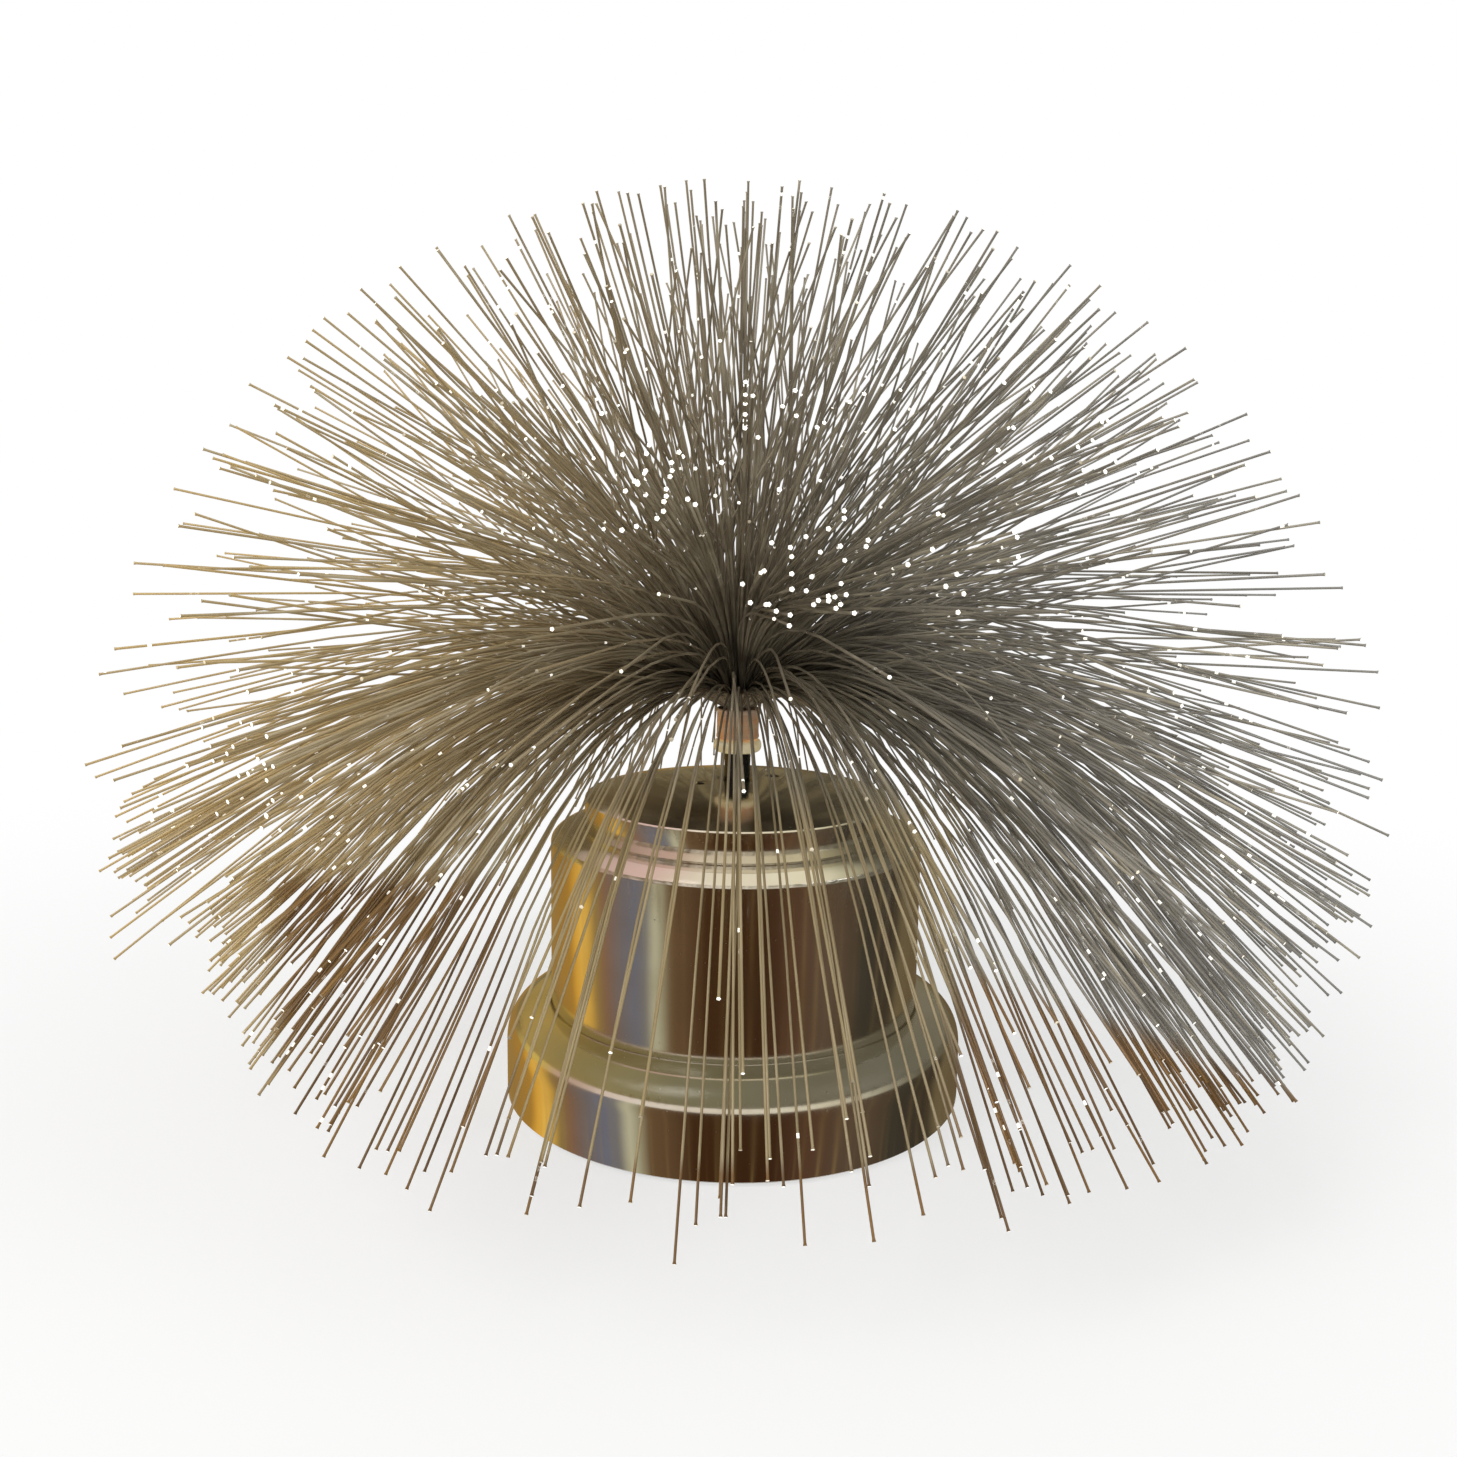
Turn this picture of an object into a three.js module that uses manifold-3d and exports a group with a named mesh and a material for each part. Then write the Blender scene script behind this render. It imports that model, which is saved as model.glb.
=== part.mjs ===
// A battery-powered fibre optic lamp: a stepped chrome base with the cells, switch and light
// inside, and a spray of clear fibres plugged into a black stem on top of its domed cap.
// Millimetres, +Z up. The origin is on the table, under the lamp's axis.
import * as THREE from 'three';
import { mergeVertices } from 'three/addons/utils/BufferGeometryUtils.js';
import Module from 'manifold-3d';

const wasm = await Module();
wasm.setup();

// Fits and cuts that all pieces share.
const clearance = 0.3; // between neighbouring pieces
const runningClearance = 0.15; // radial, where a piece slides or turns in another
const overrun = 1; // how far a cutting solid passes the face that it cuts
const sunkLength = 0.5; // how far a boss or strand reaches into the piece it is part of

// Sides of round pieces.
const shellSides = 36;
const fineSides = 20;
const plainSides = 12;
const screwSides = 10;
const roundSteps = 2;
const domeSteps = 4;
const flareSteps = 6;

// Battery cells, AA size, lying side by side along X.
const cellCount = 3;
const cellRadius = 7.25;
const cellBodyLength = 49.3;
const nubRadius = 2.75;
const nubLength = 1.2;
const cellSpacing = 0.4; // free space between two cells

// Contacts of the cells.
const contactThickness = 0.4;
const contactWidth = 8;
const contactHeight = 9;
const tabWidth = 2.4;
const tabProud = 2; // above the tray's roof
const springLength = 4;
const springRadius = 3.2; // to the middle of the wire
const springWireRadius = 0.35;
const springTurns = 2;
const turnSteps = 8;
const wireSides = 5;

// Battery tray.
const trayWall = 1.5;
const trayCornerRadius = 3;
const ribThickness = 1.6;
const ribDepth = 2.6;
const ribLength = 40;
const lugLength = 6;
const lugWidth = 7;
const lugThickness = 1.8;

// Rubber pads under the base plate.
const padCount = 4;
const padRadius = 4.5;
const padProud = 0.8; // below the foot's lower edge
const padSunk = 0.3; // into the base plate
const padInset = 2.4; // from the base plate's edge

// Base plate and what stands on it.
const plateThickness = 2;
const plateRecess = 1.5; // above the foot's lower edge
const postHeight = 3;
const trayPostRadius = 2.4;
const switchPostRadius = 2;
const postFloor = 0.8; // left under a post's blind hole

// Battery door, its hinge and its screw.
const hingeOffset = 1.8; // from the battery opening's edge
const knuckleRadius = 1.5;
const knuckleLength = 8;
const knuckleSpread = 14; // from the middle to each door knuckle
const fixedKnuckleLength = 4;
const pinRadius = 0.6;
const doorTabWidth = 10;
const doorBossRadius = 3;
const doorBossHeight = 6.4;
const doorScrewPlay = 0.6; // lets the screw leave its boss on the door's arc

// Chromed foot.
const footFlareWidth = 9.7; // from the body's wall to the rim
const footFlareRise = 7.3;
const footRimHeight = 13;
const footFlareFullness = 2.5; // 2 is an ellipse, more is squarer
const footWall = 1.8;
const footLip = 0.4; // top edge of the flare, outside the body
const bodySunk = 1.3; // how deep the body stands in the foot
const ledgeThickness = 1.6;
const ledgeReach = 0.2; // of the ledge inside the body's wall
const footBossCount = 3;
const footBossRadius = 3;
const footBossInset = 2.2;

// Chromed body.
const bodyWall = 1.8;
const bodyMargin = 1.5; // from the tray's corner to the body's wall
const bodyHeight = 36.5; // of the straight wall
const shoulderWidth = 6.5;
const shoulderRise = 3.2;
const deckThickness = 1.8;
const deckWidth = 7; // from the cap's wall in to the deck's opening

// Domed cap.
const capStep = 0.8; // from the shoulder's top edge in to the cap
const capHeight = 6.1;
const capEdgeRound = 0.8;
const capWall = 1.8;
const domeRise = 3.9;
const spigotWall = 1.8;
const spigotDepth = 1.3; // below the deck's top

// Black stem, cream ring and copper ferrule.
const stemRadius = 2.8;
const stemBoreRadius = 2.1;
const stemProud = 6.1; // visible above the dome
const ringRadius = 5.2;
const ringHeight = 2.6;
const ringBulge = 0.6;
const ringOverlap = 0.9; // of the ring round the stem's top
const ferruleRadius = 4.65;
const ferruleWall = 0.5;
const ferruleHeight = 6.6;
const ferruleFloor = 0.8;

// Lamp holder under the dome.
const holderFlangeRadius = 13;
const holderFlangeThickness = 2;
const holderNeckRadius = 5.2;
const holderNeckLength = 13.4;
const bellRadius = 9.5;
const bellWall = 1.5;
const bellHeight = 14;
const stemLedge = 0.8; // height of the step that the stem stands on
const capScrewOffset = 8.9; // from the axis
const capScrewAngleShare = 28 / 360; // of a turn
const holderBossRadius = 2.2;
const holderBossLength = 4;
const earLength = 5;
const earWidth = 5;
const earThickness = 3;
const earHoleInset = 2.6;

// Light: board, diodes and reflector cup.
const boardLength = 29;
const boardWidth = 20;
const boardThickness = 1.6;
const boardCornerRadius = 2;
const ledCount = 3;
const ledRadius = 2.5;
const ledHeight = 8.7;
const ledFlangeRadius = 2.9;
const ledFlangeHeight = 1;
const ledOffset = 3.6; // from the axis
const cupCylinderHeight = 7.4;
const cupMouthRadius = 6.9;
const cupConeRadius = 6.5; // where the cone starts
const chipLength = 5;
const chipWidth = 4;
const chipHeight = 1.5;
const chipOffset = 5;

// Slide switch on the base plate.
const switchInset = 11.9; // from the base plate's -Y edge
const switchLength = 16;
const switchWidth = 7;
const switchHeight = 6;
const switchEarLength = 4.4;
const switchEarWidth = 5;
const switchEarThickness = 1;
const switchTravel = 3;
const nubLengthX = 3.4;
const nubWidth = 3;
const nubProud = 1.1; // below the base plate
const sliderLength = 5.4;
const sliderWidth = 4.6;
const sliderHeight = 1.9;
const pinLength = 1.6;
const pinThickness = 0.8;
const pinHeight = 2;
const pinSpacing = 3;

// Screws.
const baseScrewRadius = 1;
const baseScrewHeadRadius = 2.2;
const baseScrewHeadHeight = 1;
const baseScrewLength = 9;
const smallScrewRadius = 0.8;
const smallScrewHeadRadius = 1.7;
const smallScrewHeadHeight = 1.2;
const smallScrewLength = 4;
const capScrewHeadRadius = 1.2;
const capScrewHeadHeight = 0.8;
const capScrewLength = 6;
const doorScrewLength = 6;

// Hook-up wires inside the base.
const wireRadius = 0.7;
const wireSteps = 16;
const wireSectionSteps = 4; // in each half of the section
const supplyRise = 12;
const supplyDrop = 18;
const boardDrop = 8;
const switchedRise = 14;
const boardWireX = 5;
const boardWireY = 5;

// Fibre bundle and spray.
const tailHeadHeight = 3.5; // of the widened top of the bundle in the ferrule
const tailConeHeight = 2;
const sliceProud = 1; // of the potted end above the ferrule
const quadrantCount = 4;
const quadrantSpacing = 0.3;
const strandsPerQuadrant = 75;
const strandSides = 3;
const strandRootRadius = 0.13;
const strandTipRadius = 0.24;
const strandEdgeInset = 0.22; // from the slice's edge to a strand's middle
const firstStrandRadius = 0.85; // from the axis
const uprightLength = 107;
const lowestLength = 149;
const lengthPower = 2.4; // how late the fibres grow longer from the middle outwards
const lowestTilt = (58 * Math.PI) / 180;
const lowestDroop = (84 * Math.PI) / 180;
const droopPower = 1.7; // how late the droop sets in from the middle outwards
const bendPower = 3; // how much of the bend lies near the root
const fewestSteps = 1;
const mostSteps = 3;
const stopPower = 1.8; // how close the stops lie to the root
const bendSteps = 12; // sums between two stops
const goldenShare = 0.618034;

// Sizes and levels that follow from the ones above, from the cells outwards and the table up.
const cellLength = cellBodyLength + nubLength;
const cellPitch = 2 * cellRadius + cellSpacing;
const trayHalfLength = (cellLength + springLength + 2 * contactThickness + 4 * clearance) / 2;
const trayHalfWidth = (cellCount * cellPitch + clearance) / 2;
const trayCornerX = trayHalfLength + trayWall - trayCornerRadius;
const trayCornerY = trayHalfWidth + trayWall - trayCornerRadius;
const bodyInnerRadius = Math.hypot(trayCornerX, trayCornerY) + trayCornerRadius + bodyMargin;
const bodyRadius = bodyInnerRadius + bodyWall;
const footRadius = bodyRadius + footFlareWidth;
const footInnerRadius = footRadius - footWall;
const plateRadius = footInnerRadius - clearance;
const footBossCircle = footInnerRadius - footBossInset - footBossRadius;
const padCircle = plateRadius - padInset - padRadius;
const shoulderTopRadius = bodyRadius - shoulderWidth;
const capRadius = shoulderTopRadius - capStep;
const deckOpeningRadius = capRadius - deckWidth;
const domeRadius = (capRadius ** 2 + domeRise ** 2) / (2 * domeRise);

const footBottom = padProud;
const rimTop = footBottom + footRimHeight;
const flareTop = rimTop + footFlareRise;
const ledgeTop = flareTop - bodySunk;
const ledgeBottom = ledgeTop - ledgeThickness;
const plateBottom = footBottom + plateRecess;
const plateTop = plateBottom + plateThickness;
const postTop = plateTop + postHeight;
const trayBottom = plateTop + clearance;
const cellLevel = trayBottom + cellRadius;
const trayCeiling = cellLevel + cellRadius + clearance;
const trayTop = trayCeiling + trayWall;
const bodyBottom = ledgeTop + clearance;
const shoulderBottom = bodyBottom + bodyHeight;
const deckTop = shoulderBottom + shoulderRise;
const deckBottom = deckTop - deckThickness;
const capBottom = deckTop + clearance;
const capEdge = capBottom + capHeight;
const domeTop = capEdge + domeRise;
const holderTop = domeHeight(holderFlangeRadius) - capWall - clearance;
const bellTop = holderTop - holderFlangeThickness - holderNeckLength;
const bellBottom = bellTop - bellHeight;
const stemSeat = bellTop - stemLedge;
const bellRoof = stemSeat - stemLedge;
const stemBottom = stemSeat + clearance;
const ringBottom = domeTop + stemProud;
const stemTop = ringBottom + ringOverlap;
const ringTop = ringBottom + ringHeight;
const ferruleBottom = ringTop + clearance;
const ferruleTop = ferruleBottom + ferruleHeight;
const tailRadius = stemBoreRadius - runningClearance;
const bundleRadius = ferruleRadius - ferruleWall - clearance;
const tailHeadBottom = ferruleBottom + ferruleFloor + clearance;
const tailTop = tailHeadBottom + tailHeadHeight;
const sliceBottom = tailTop + clearance;
const sliceTop = ferruleTop + sliceProud;
const boardTop = bellBottom - clearance;
const boardBottom = boardTop - boardThickness;
const earHoleX = bellRadius + earHoleInset;
const hingeY = -(trayHalfWidth + hingeOffset);
const hingeZ = plateBottom;
const doorBossY = trayHalfWidth + trayWall + doorBossRadius - sunkLength;
const trayPostX = trayHalfLength + trayWall + lugLength / 2;
const switchOffset = plateRadius - switchInset; // from the axis, towards -Y
const switchBottom = plateTop + clearance;
const switchTop = switchBottom + switchHeight;
const switchEarBottom = postTop + clearance;
const switchPostX = (switchLength + switchEarLength) / 2;
const tabTop = trayTop + tabProud;
const smallBoreRadius = smallScrewRadius + runningClearance;
const passHoleRadius = smallScrewRadius + clearance;

// Height of the dome's outer surface at a distance from the axis.
function domeHeight(radius) {
  return domeTop - domeRadius + Math.sqrt(domeRadius ** 2 - radius ** 2);
}

// Drops everything but merged positions, removes flat triangles and turns the faces outwards.
function closed(geometry) {
  const bare = geometry.clone();
  bare.deleteAttribute('normal');
  bare.deleteAttribute('uv');
  const merged = mergeVertices(bare);
  const position = merged.getAttribute('position');
  const corners = Array.from(merged.index.array);
  const kept = [];
  const a = new THREE.Vector3();
  const b = new THREE.Vector3();
  const c = new THREE.Vector3();
  let volume = 0;
  for (let i = 0; i < corners.length; i += 3) {
    const [p, q, r] = corners.slice(i, i + 3);
    if (p !== q && q !== r && r !== p) {
      kept.push(p, q, r);
      a.fromBufferAttribute(position, p);
      b.fromBufferAttribute(position, q);
      c.fromBufferAttribute(position, r);
      volume += a.dot(b.cross(c));
    }
  }
  merged.setIndex(volume < 0 ? kept.reverse() : kept);
  return merged;
}

// A manifold-3d solid of a closed geometry, for joins and cuts.
function solid(geometry) {
  const mesh = closed(geometry);
  const vertProperties = new Float32Array(mesh.getAttribute('position').array);
  const triVerts = new Uint32Array(mesh.index.array);
  return new wasm.Manifold(new wasm.Mesh({ numProp: 3, vertProperties, triVerts }));
}

function geometryOf(manifold) {
  const mesh = manifold.getMesh();
  const geometry = new THREE.BufferGeometry();
  geometry.setAttribute('position', new THREE.BufferAttribute(mesh.vertProperties, 3));
  geometry.setIndex(new THREE.BufferAttribute(mesh.triVerts, 1));
  return geometry;
}

function join(first, others) {
  return others.reduce((sum, other) => sum.add(solid(other)), solid(first));
}

function cut(manifold, others) {
  return others.reduce((rest, other) => rest.subtract(solid(other)), manifold);
}

// A solid of revolution round Z from points [radius, height].
function turned(points, sides) {
  const profile = points.map(([radius, height]) => new THREE.Vector2(radius, height));
  return new THREE.LatheGeometry(profile, sides).rotateX(Math.PI / 2);
}

// A ring of revolution: its profile closes on itself.
function turnedRing(points, sides) {
  return turned([...points, points[0]], sides);
}

// Points of a quarter ellipse from its outermost point up to its top.
function quarterEllipse(centreRadius, centreHeight, width, rise, steps, fullness = 2) {
  return Array.from({ length: steps + 1 }, (_, i) => {
    const angle = (Math.PI / 2) * (i / steps);
    const across = i < steps ? Math.cos(angle) ** (2 / fullness) : 0;
    return [centreRadius + width * across, centreHeight + rise * Math.sin(angle) ** (2 / fullness)];
  });
}

// An upright cylinder from one height to another.
function rod(radius, bottom, top, sides, x = 0, y = 0) {
  const height = top - bottom;
  const cylinder = new THREE.CylinderGeometry(radius, radius, height, sides).rotateX(Math.PI / 2);
  return cylinder.translate(x, y, bottom + height / 2);
}

// A cylinder that lies along X.
function crossRod(radius, length, sides, x, y, z) {
  const cylinder = new THREE.CylinderGeometry(radius, radius, length, sides).rotateZ(Math.PI / 2);
  return cylinder.translate(x, y, z);
}

// A box between two corners.
function block([x0, y0, z0], [x1, y1, z1]) {
  const box = new THREE.BoxGeometry(x1 - x0, y1 - y0, z1 - z0);
  return box.translate((x0 + x1) / 2, (y0 + y1) / 2, (z0 + z1) / 2);
}

// An upright plate with rounded corners, centred on the axis.
function roundedPlate(halfLength, halfWidth, cornerRadius, bottom, top) {
  const shape = new THREE.Shape();
  const x = halfLength - cornerRadius;
  const y = halfWidth - cornerRadius;
  shape.absarc(x, y, cornerRadius, 0, Math.PI / 2);
  shape.absarc(-x, y, cornerRadius, Math.PI / 2, Math.PI);
  shape.absarc(-x, -y, cornerRadius, Math.PI, 1.5 * Math.PI);
  shape.absarc(x, -y, cornerRadius, 1.5 * Math.PI, 2 * Math.PI);
  const options = { depth: top - bottom, bevelEnabled: false, curveSegments: roundSteps };
  return new THREE.ExtrudeGeometry(shape, options).translate(0, 0, bottom);
}

// A tube or strand through rings of points, closed with a fan at each end.
function tubeThrough(rings) {
  const sides = rings[0].length;
  const last = (rings.length - 1) * sides;
  const index = [];
  for (let side = 2; side < sides; side += 1) {
    index.push(0, side, side - 1);
    index.push(last, last + side - 1, last + side);
  }
  for (let side = 0; side < sides; side += 1) {
    const next = (side + 1) % sides;
    for (let row = 0; row < last; row += sides) {
      index.push(row + side, row + next, row + sides + next);
      index.push(row + side, row + sides + next, row + sides + side);
    }
  }
  const geometry = new THREE.BufferGeometry().setFromPoints(rings.flat());
  geometry.setIndex(index);
  return geometry;
}

// Materials, with the colours of the photograph.
function material(color, roughness, metalness) {
  return new THREE.MeshStandardMaterial({ color, roughness, metalness });
}

const chrome = material('#b9b2a4', 0.08, 1);
const copper = material('#c98a52', 0.25, 1);
const steel = material('#b8bac0', 0.35, 1);
const darkSteel = material('#2a2622', 0.4, 1);
const blackPlastic = material('#1a1816', 0.35, 0);
const matteBlack = material('#242424', 0.6, 0);
const creamPlastic = material('#ecdcae', 0.35, 0);
const whitePlastic = material('#e9e6dd', 0.5, 0);
const rubber = material('#2b2b2b', 0.9, 0);
const cellJacket = material('#3c5a78', 0.4, 0.3);
const boardGreen = material('#2f6b46', 0.5, 0);
const fibre = material('#8f826a', 0.2, 0);
const redWire = material('#a83a30', 0.5, 0);
const blackWire = material('#26262a', 0.5, 0);
const yellowWire = material('#c9a542', 0.5, 0);
const ledMaterials = {
  red: material('#d98a82', 0.15, 0),
  green: material('#a3cfa0', 0.15, 0),
  blue: material('#9db4dc', 0.15, 0),
};

const lamp = new THREE.Group();
lamp.name = 'fibre_optic_lamp';

function add(name, shape, look) {
  const geometry = shape.isBufferGeometry ? closed(shape) : geometryOf(shape);
  const mesh = new THREE.Mesh(geometry, look);
  mesh.name = name;
  lamp.add(mesh);
  return mesh;
}

// A point at an angle round the axis.
function around(radius, angle) {
  return [radius * Math.cos(angle), radius * Math.sin(angle)];
}

const footBossPlaces = Array.from({ length: footBossCount }, (_, i) =>
  around(footBossCircle, Math.PI / 2 + (2 * Math.PI * i) / footBossCount));
const padPlaces = Array.from({ length: padCount }, (_, i) =>
  around(padCircle, Math.PI / 4 + (2 * Math.PI * i) / padCount));
const capScrewPlaces = [0, 1].map((i) =>
  around(capScrewOffset, 2 * Math.PI * capScrewAngleShare + Math.PI * i));

// Foot: a ring with an upright rim, a bulged flare and a ledge for the body.
function footShell() {
  const lipRadius = bodyRadius + clearance;
  const flareTopRadius = lipRadius + footLip;
  const flare = quarterEllipse(
    flareTopRadius, rimTop, footRadius - flareTopRadius, footFlareRise, flareSteps, footFlareFullness);
  const innerRim = rimTop - footWall / 2;
  const inner = quarterEllipse(
    flareTopRadius, innerRim, footInnerRadius - flareTopRadius, ledgeBottom - innerRim, domeSteps,
    footFlareFullness);
  const ring = turnedRing([
    [footInnerRadius, footBottom],
    [footRadius, footBottom],
    ...flare,
    [lipRadius, flareTop],
    [lipRadius, ledgeTop],
    [bodyInnerRadius - ledgeReach, ledgeTop],
    [bodyInnerRadius - ledgeReach, ledgeBottom],
    ...inner.reverse(),
  ], shellSides);
  const bosses = footBossPlaces.map(([x, y]) =>
    rod(footBossRadius, plateTop + clearance, ledgeBottom + clearance, plainSides, x, y));
  const boreTop = plateTop + baseScrewLength + clearance;
  const bores = footBossPlaces.map(([x, y]) =>
    rod(baseScrewRadius + runningClearance, plateTop, boreTop, screwSides, x, y));
  return cut(join(ring, bosses), bores);
}
add('foot_shell', footShell(), chrome);

// Body: an upright drum with a rounded shoulder and a deck that carries the cap.
function bodyShell() {
  const innerTop = shoulderBottom - deckThickness + shoulderRise / 2;
  const outer = quarterEllipse(
    shoulderTopRadius, shoulderBottom, shoulderWidth, shoulderRise, domeSteps);
  const inner = quarterEllipse(
    shoulderTopRadius, innerTop, bodyInnerRadius - shoulderTopRadius, deckBottom - innerTop, domeSteps);
  return turnedRing([
    [bodyInnerRadius, bodyBottom],
    [bodyRadius, bodyBottom],
    ...outer,
    [deckOpeningRadius, deckTop],
    [deckOpeningRadius, deckBottom],
    ...inner.reverse(),
  ], shellSides);
}
add('body_shell', bodyShell(), chrome);

// Cap: a shallow dome on a short wall, with a spigot that centres it in the deck.
function topCap() {
  const holeRadius = stemRadius + clearance;
  const spigotRadius = deckOpeningRadius - clearance;
  const spigotBottom = deckTop - spigotDepth;
  const edgeRadius = capRadius - capEdgeRound;
  const edge = quarterEllipse(edgeRadius, capEdge - capEdgeRound, capEdgeRound, capEdgeRound, roundSteps);
  const under = (radius) => [radius, domeHeight(radius) - capWall];
  const dome = Array.from({ length: domeSteps }, (_, i) => {
    const radius = edgeRadius + (holeRadius - edgeRadius) * ((i + 1) / domeSteps);
    return [radius, domeHeight(radius)];
  });
  const cap = turnedRing([
    [capRadius - capWall, capBottom],
    [capRadius, capBottom],
    ...edge,
    ...dome,
    under(holeRadius),
    under((holeRadius + spigotRadius) / 2),
    under(spigotRadius - spigotWall),
    [spigotRadius - spigotWall, spigotBottom],
    [spigotRadius, spigotBottom],
    under(spigotRadius),
    under(capRadius - capWall),
  ], shellSides);
  const pocketBottom = domeHeight(capScrewOffset) - capScrewHeadHeight - clearance;
  const cuts = capScrewPlaces.flatMap(([x, y]) => [
    rod(passHoleRadius, holderTop, domeTop + overrun, screwSides, x, y),
    rod(capScrewHeadRadius + clearance, pocketBottom, domeTop + overrun, screwSides, x, y),
  ]);
  return cut(solid(cap), cuts);
}
add('top_cap', topCap(), chrome);

// Base plate: closes the foot from below, with the battery opening, the switch slot, posts
// for the tray and the switch, and the fixed knuckles of the door's hinge.
function basePlate() {
  const below = plateBottom - overrun;
  const above = plateTop + overrun;
  const slotHalf = (switchTravel + nubLengthX) / 2 + clearance;
  const notchEdge = hingeY - knuckleRadius - clearance;
  const tabHalf = doorTabWidth / 2 + clearance;
  const tabEnd = doorBossY + doorBossRadius + clearance;
  const disc = rod(plateRadius, plateBottom, plateTop, shellSides);
  const posts = [-1, 1].flatMap((side) => [
    rod(trayPostRadius, plateTop - sunkLength, postTop, plainSides, side * trayPostX, 0),
    rod(switchPostRadius, plateTop - sunkLength, postTop, plainSides, side * switchPostX, -switchOffset),
  ]);
  const knuckleShift = (knuckleLength + fixedKnuckleLength) / 2 + clearance;
  const knuckles = [-1, 1].flatMap((side) => [-1, 1].map((end) => crossRod(
    knuckleRadius, fixedKnuckleLength, plainSides,
    side * knuckleSpread + end * knuckleShift, hingeY, hingeZ)));
  const pinBoreLength = 2 * (knuckleSpread + knuckleShift + fixedKnuckleLength);
  const cuts = [
    roundedPlate(trayHalfLength, trayHalfWidth, trayCornerRadius - trayWall, below, above),
    block([-slotHalf, -switchOffset - nubWidth / 2 - clearance, below],
      [slotHalf, -switchOffset + nubWidth / 2 + clearance, above]),
    block([-tabHalf, 0, below], [tabHalf, tabEnd, above]),
    crossRod(pinRadius + runningClearance, pinBoreLength, screwSides, 0, hingeY, hingeZ),
    ...[-1, 1].map((side) => block(
      [side * knuckleSpread - knuckleLength / 2 - clearance, notchEdge, below],
      [side * knuckleSpread + knuckleLength / 2 + clearance, 0, above])),
    ...[-1, 1].flatMap((side) => [
      rod(smallBoreRadius, plateBottom + postFloor, postTop + overrun, screwSides, side * trayPostX, 0),
      rod(smallBoreRadius, plateBottom + postFloor, postTop + overrun, screwSides,
        side * switchPostX, -switchOffset),
    ]),
    ...footBossPlaces.flatMap(([x, y]) => [
      rod(baseScrewRadius + clearance, below, above, screwSides, x, y),
      rod(baseScrewHeadRadius + clearance, below, plateBottom + baseScrewHeadHeight + clearance,
        plainSides, x, y),
    ]),
    ...padPlaces.map(([x, y]) =>
      rod(padRadius + clearance, below, plateBottom + padSunk + clearance, plainSides, x, y)),
  ];
  return cut(join(disc, [...posts, ...knuckles]), cuts);
}
add('base_plate', basePlate(), matteBlack);

padPlaces.forEach(([x, y], i) => {
  add(`foot_pad_${i + 1}`, rod(padRadius, 0, plateBottom + padSunk, plainSides, x, y), rubber);
});

// A screw along +Z with its head below, or turned over with its head on top.
function screw(radius, headRadius, headHeight, length, headOnTop) {
  const geometry = turned([
    [0, 0],
    [headRadius, 0],
    [headRadius, headHeight],
    [radius, headHeight],
    [radius, headHeight + length],
    [0, headHeight + length],
  ], screwSides);
  return headOnTop ? geometry.rotateX(Math.PI) : geometry;
}

function baseScrew() {
  return screw(baseScrewRadius, baseScrewHeadRadius, baseScrewHeadHeight, baseScrewLength, false);
}

function smallScrew(headOnTop) {
  return screw(smallScrewRadius, smallScrewHeadRadius, smallScrewHeadHeight, smallScrewLength, headOnTop);
}

footBossPlaces.forEach(([x, y], i) => {
  add(`base_screw_${i + 1}`, baseScrew().translate(x, y, plateBottom), steel);
});

// Battery tray: a box open below, with ribs between the cells, a lug at each end and a boss
// for the door's screw.
function batteryTray() {
  const lugBottom = postTop + clearance;
  const lugStart = trayHalfLength + trayWall - sunkLength;
  const shell = roundedPlate(
    trayHalfLength + trayWall, trayHalfWidth + trayWall, trayCornerRadius, trayBottom, trayTop);
  const hollow = roundedPlate(
    trayHalfLength, trayHalfWidth, trayCornerRadius - trayWall, trayBottom - overrun, trayCeiling);
  const ribs = Array.from({ length: cellCount - 1 }, (_, i) => {
    const y = (i + 1 - cellCount / 2) * cellPitch;
    return block([-ribLength / 2, y - ribThickness / 2, trayCeiling - ribDepth],
      [ribLength / 2, y + ribThickness / 2, trayCeiling + sunkLength]);
  });
  const lugs = [-1, 1].map((side) => {
    const [near, far] = [side * lugStart, side * (lugStart + lugLength)].sort((a, b) => a - b);
    return block([near, -lugWidth / 2, lugBottom], [far, lugWidth / 2, lugBottom + lugThickness]);
  });
  const boss = rod(doorBossRadius, trayBottom, trayBottom + doorBossHeight, plainSides, 0, doorBossY);
  const lugHoles = [-1, 1].map((side) =>
    rod(passHoleRadius, lugBottom - overrun, lugBottom + lugThickness + overrun, screwSides,
      side * trayPostX, 0));
  const bossHole = rod(baseScrewRadius + doorScrewPlay, trayBottom - overrun,
    plateBottom + baseScrewHeadHeight + doorScrewLength + doorScrewPlay, screwSides, 0, doorBossY);
  const tabSlots = [contactPlaces[0].negative, contactPlaces.at(-1).positive].map(([x, y]) =>
    block([x - contactThickness / 2 - clearance, y - tabWidth / 2 - clearance, trayCeiling - overrun],
      [x + contactThickness / 2 + clearance, y + tabWidth / 2 + clearance, trayTop + overrun]));
  const box = cut(solid(shell), [hollow]);
  const joined = [...ribs, ...lugs, boss].reduce((sum, piece) => sum.add(solid(piece)), box);
  return cut(joined, [...lugHoles, bossHole, ...tabSlots]);
}

// Where each cell's two contacts stand; every second cell is turned round.
const contactX = trayHalfLength - clearance - contactThickness / 2;
const contactPlaces = Array.from({ length: cellCount }, (_, i) => {
  const y = (i - (cellCount - 1) / 2) * cellPitch;
  const side = i % 2 === 0 ? 1 : -1;
  return { side, positive: [side * contactX, y], negative: [-side * contactX, y] };
});
add('battery_tray', batteryTray(), matteBlack);

[-1, 1].forEach((side, i) => {
  const top = postTop + clearance + lugThickness + smallScrewHeadHeight;
  add(`tray_screw_${i + 1}`, smallScrew(true).translate(side * trayPostX, 0, top), steel);
});

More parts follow.
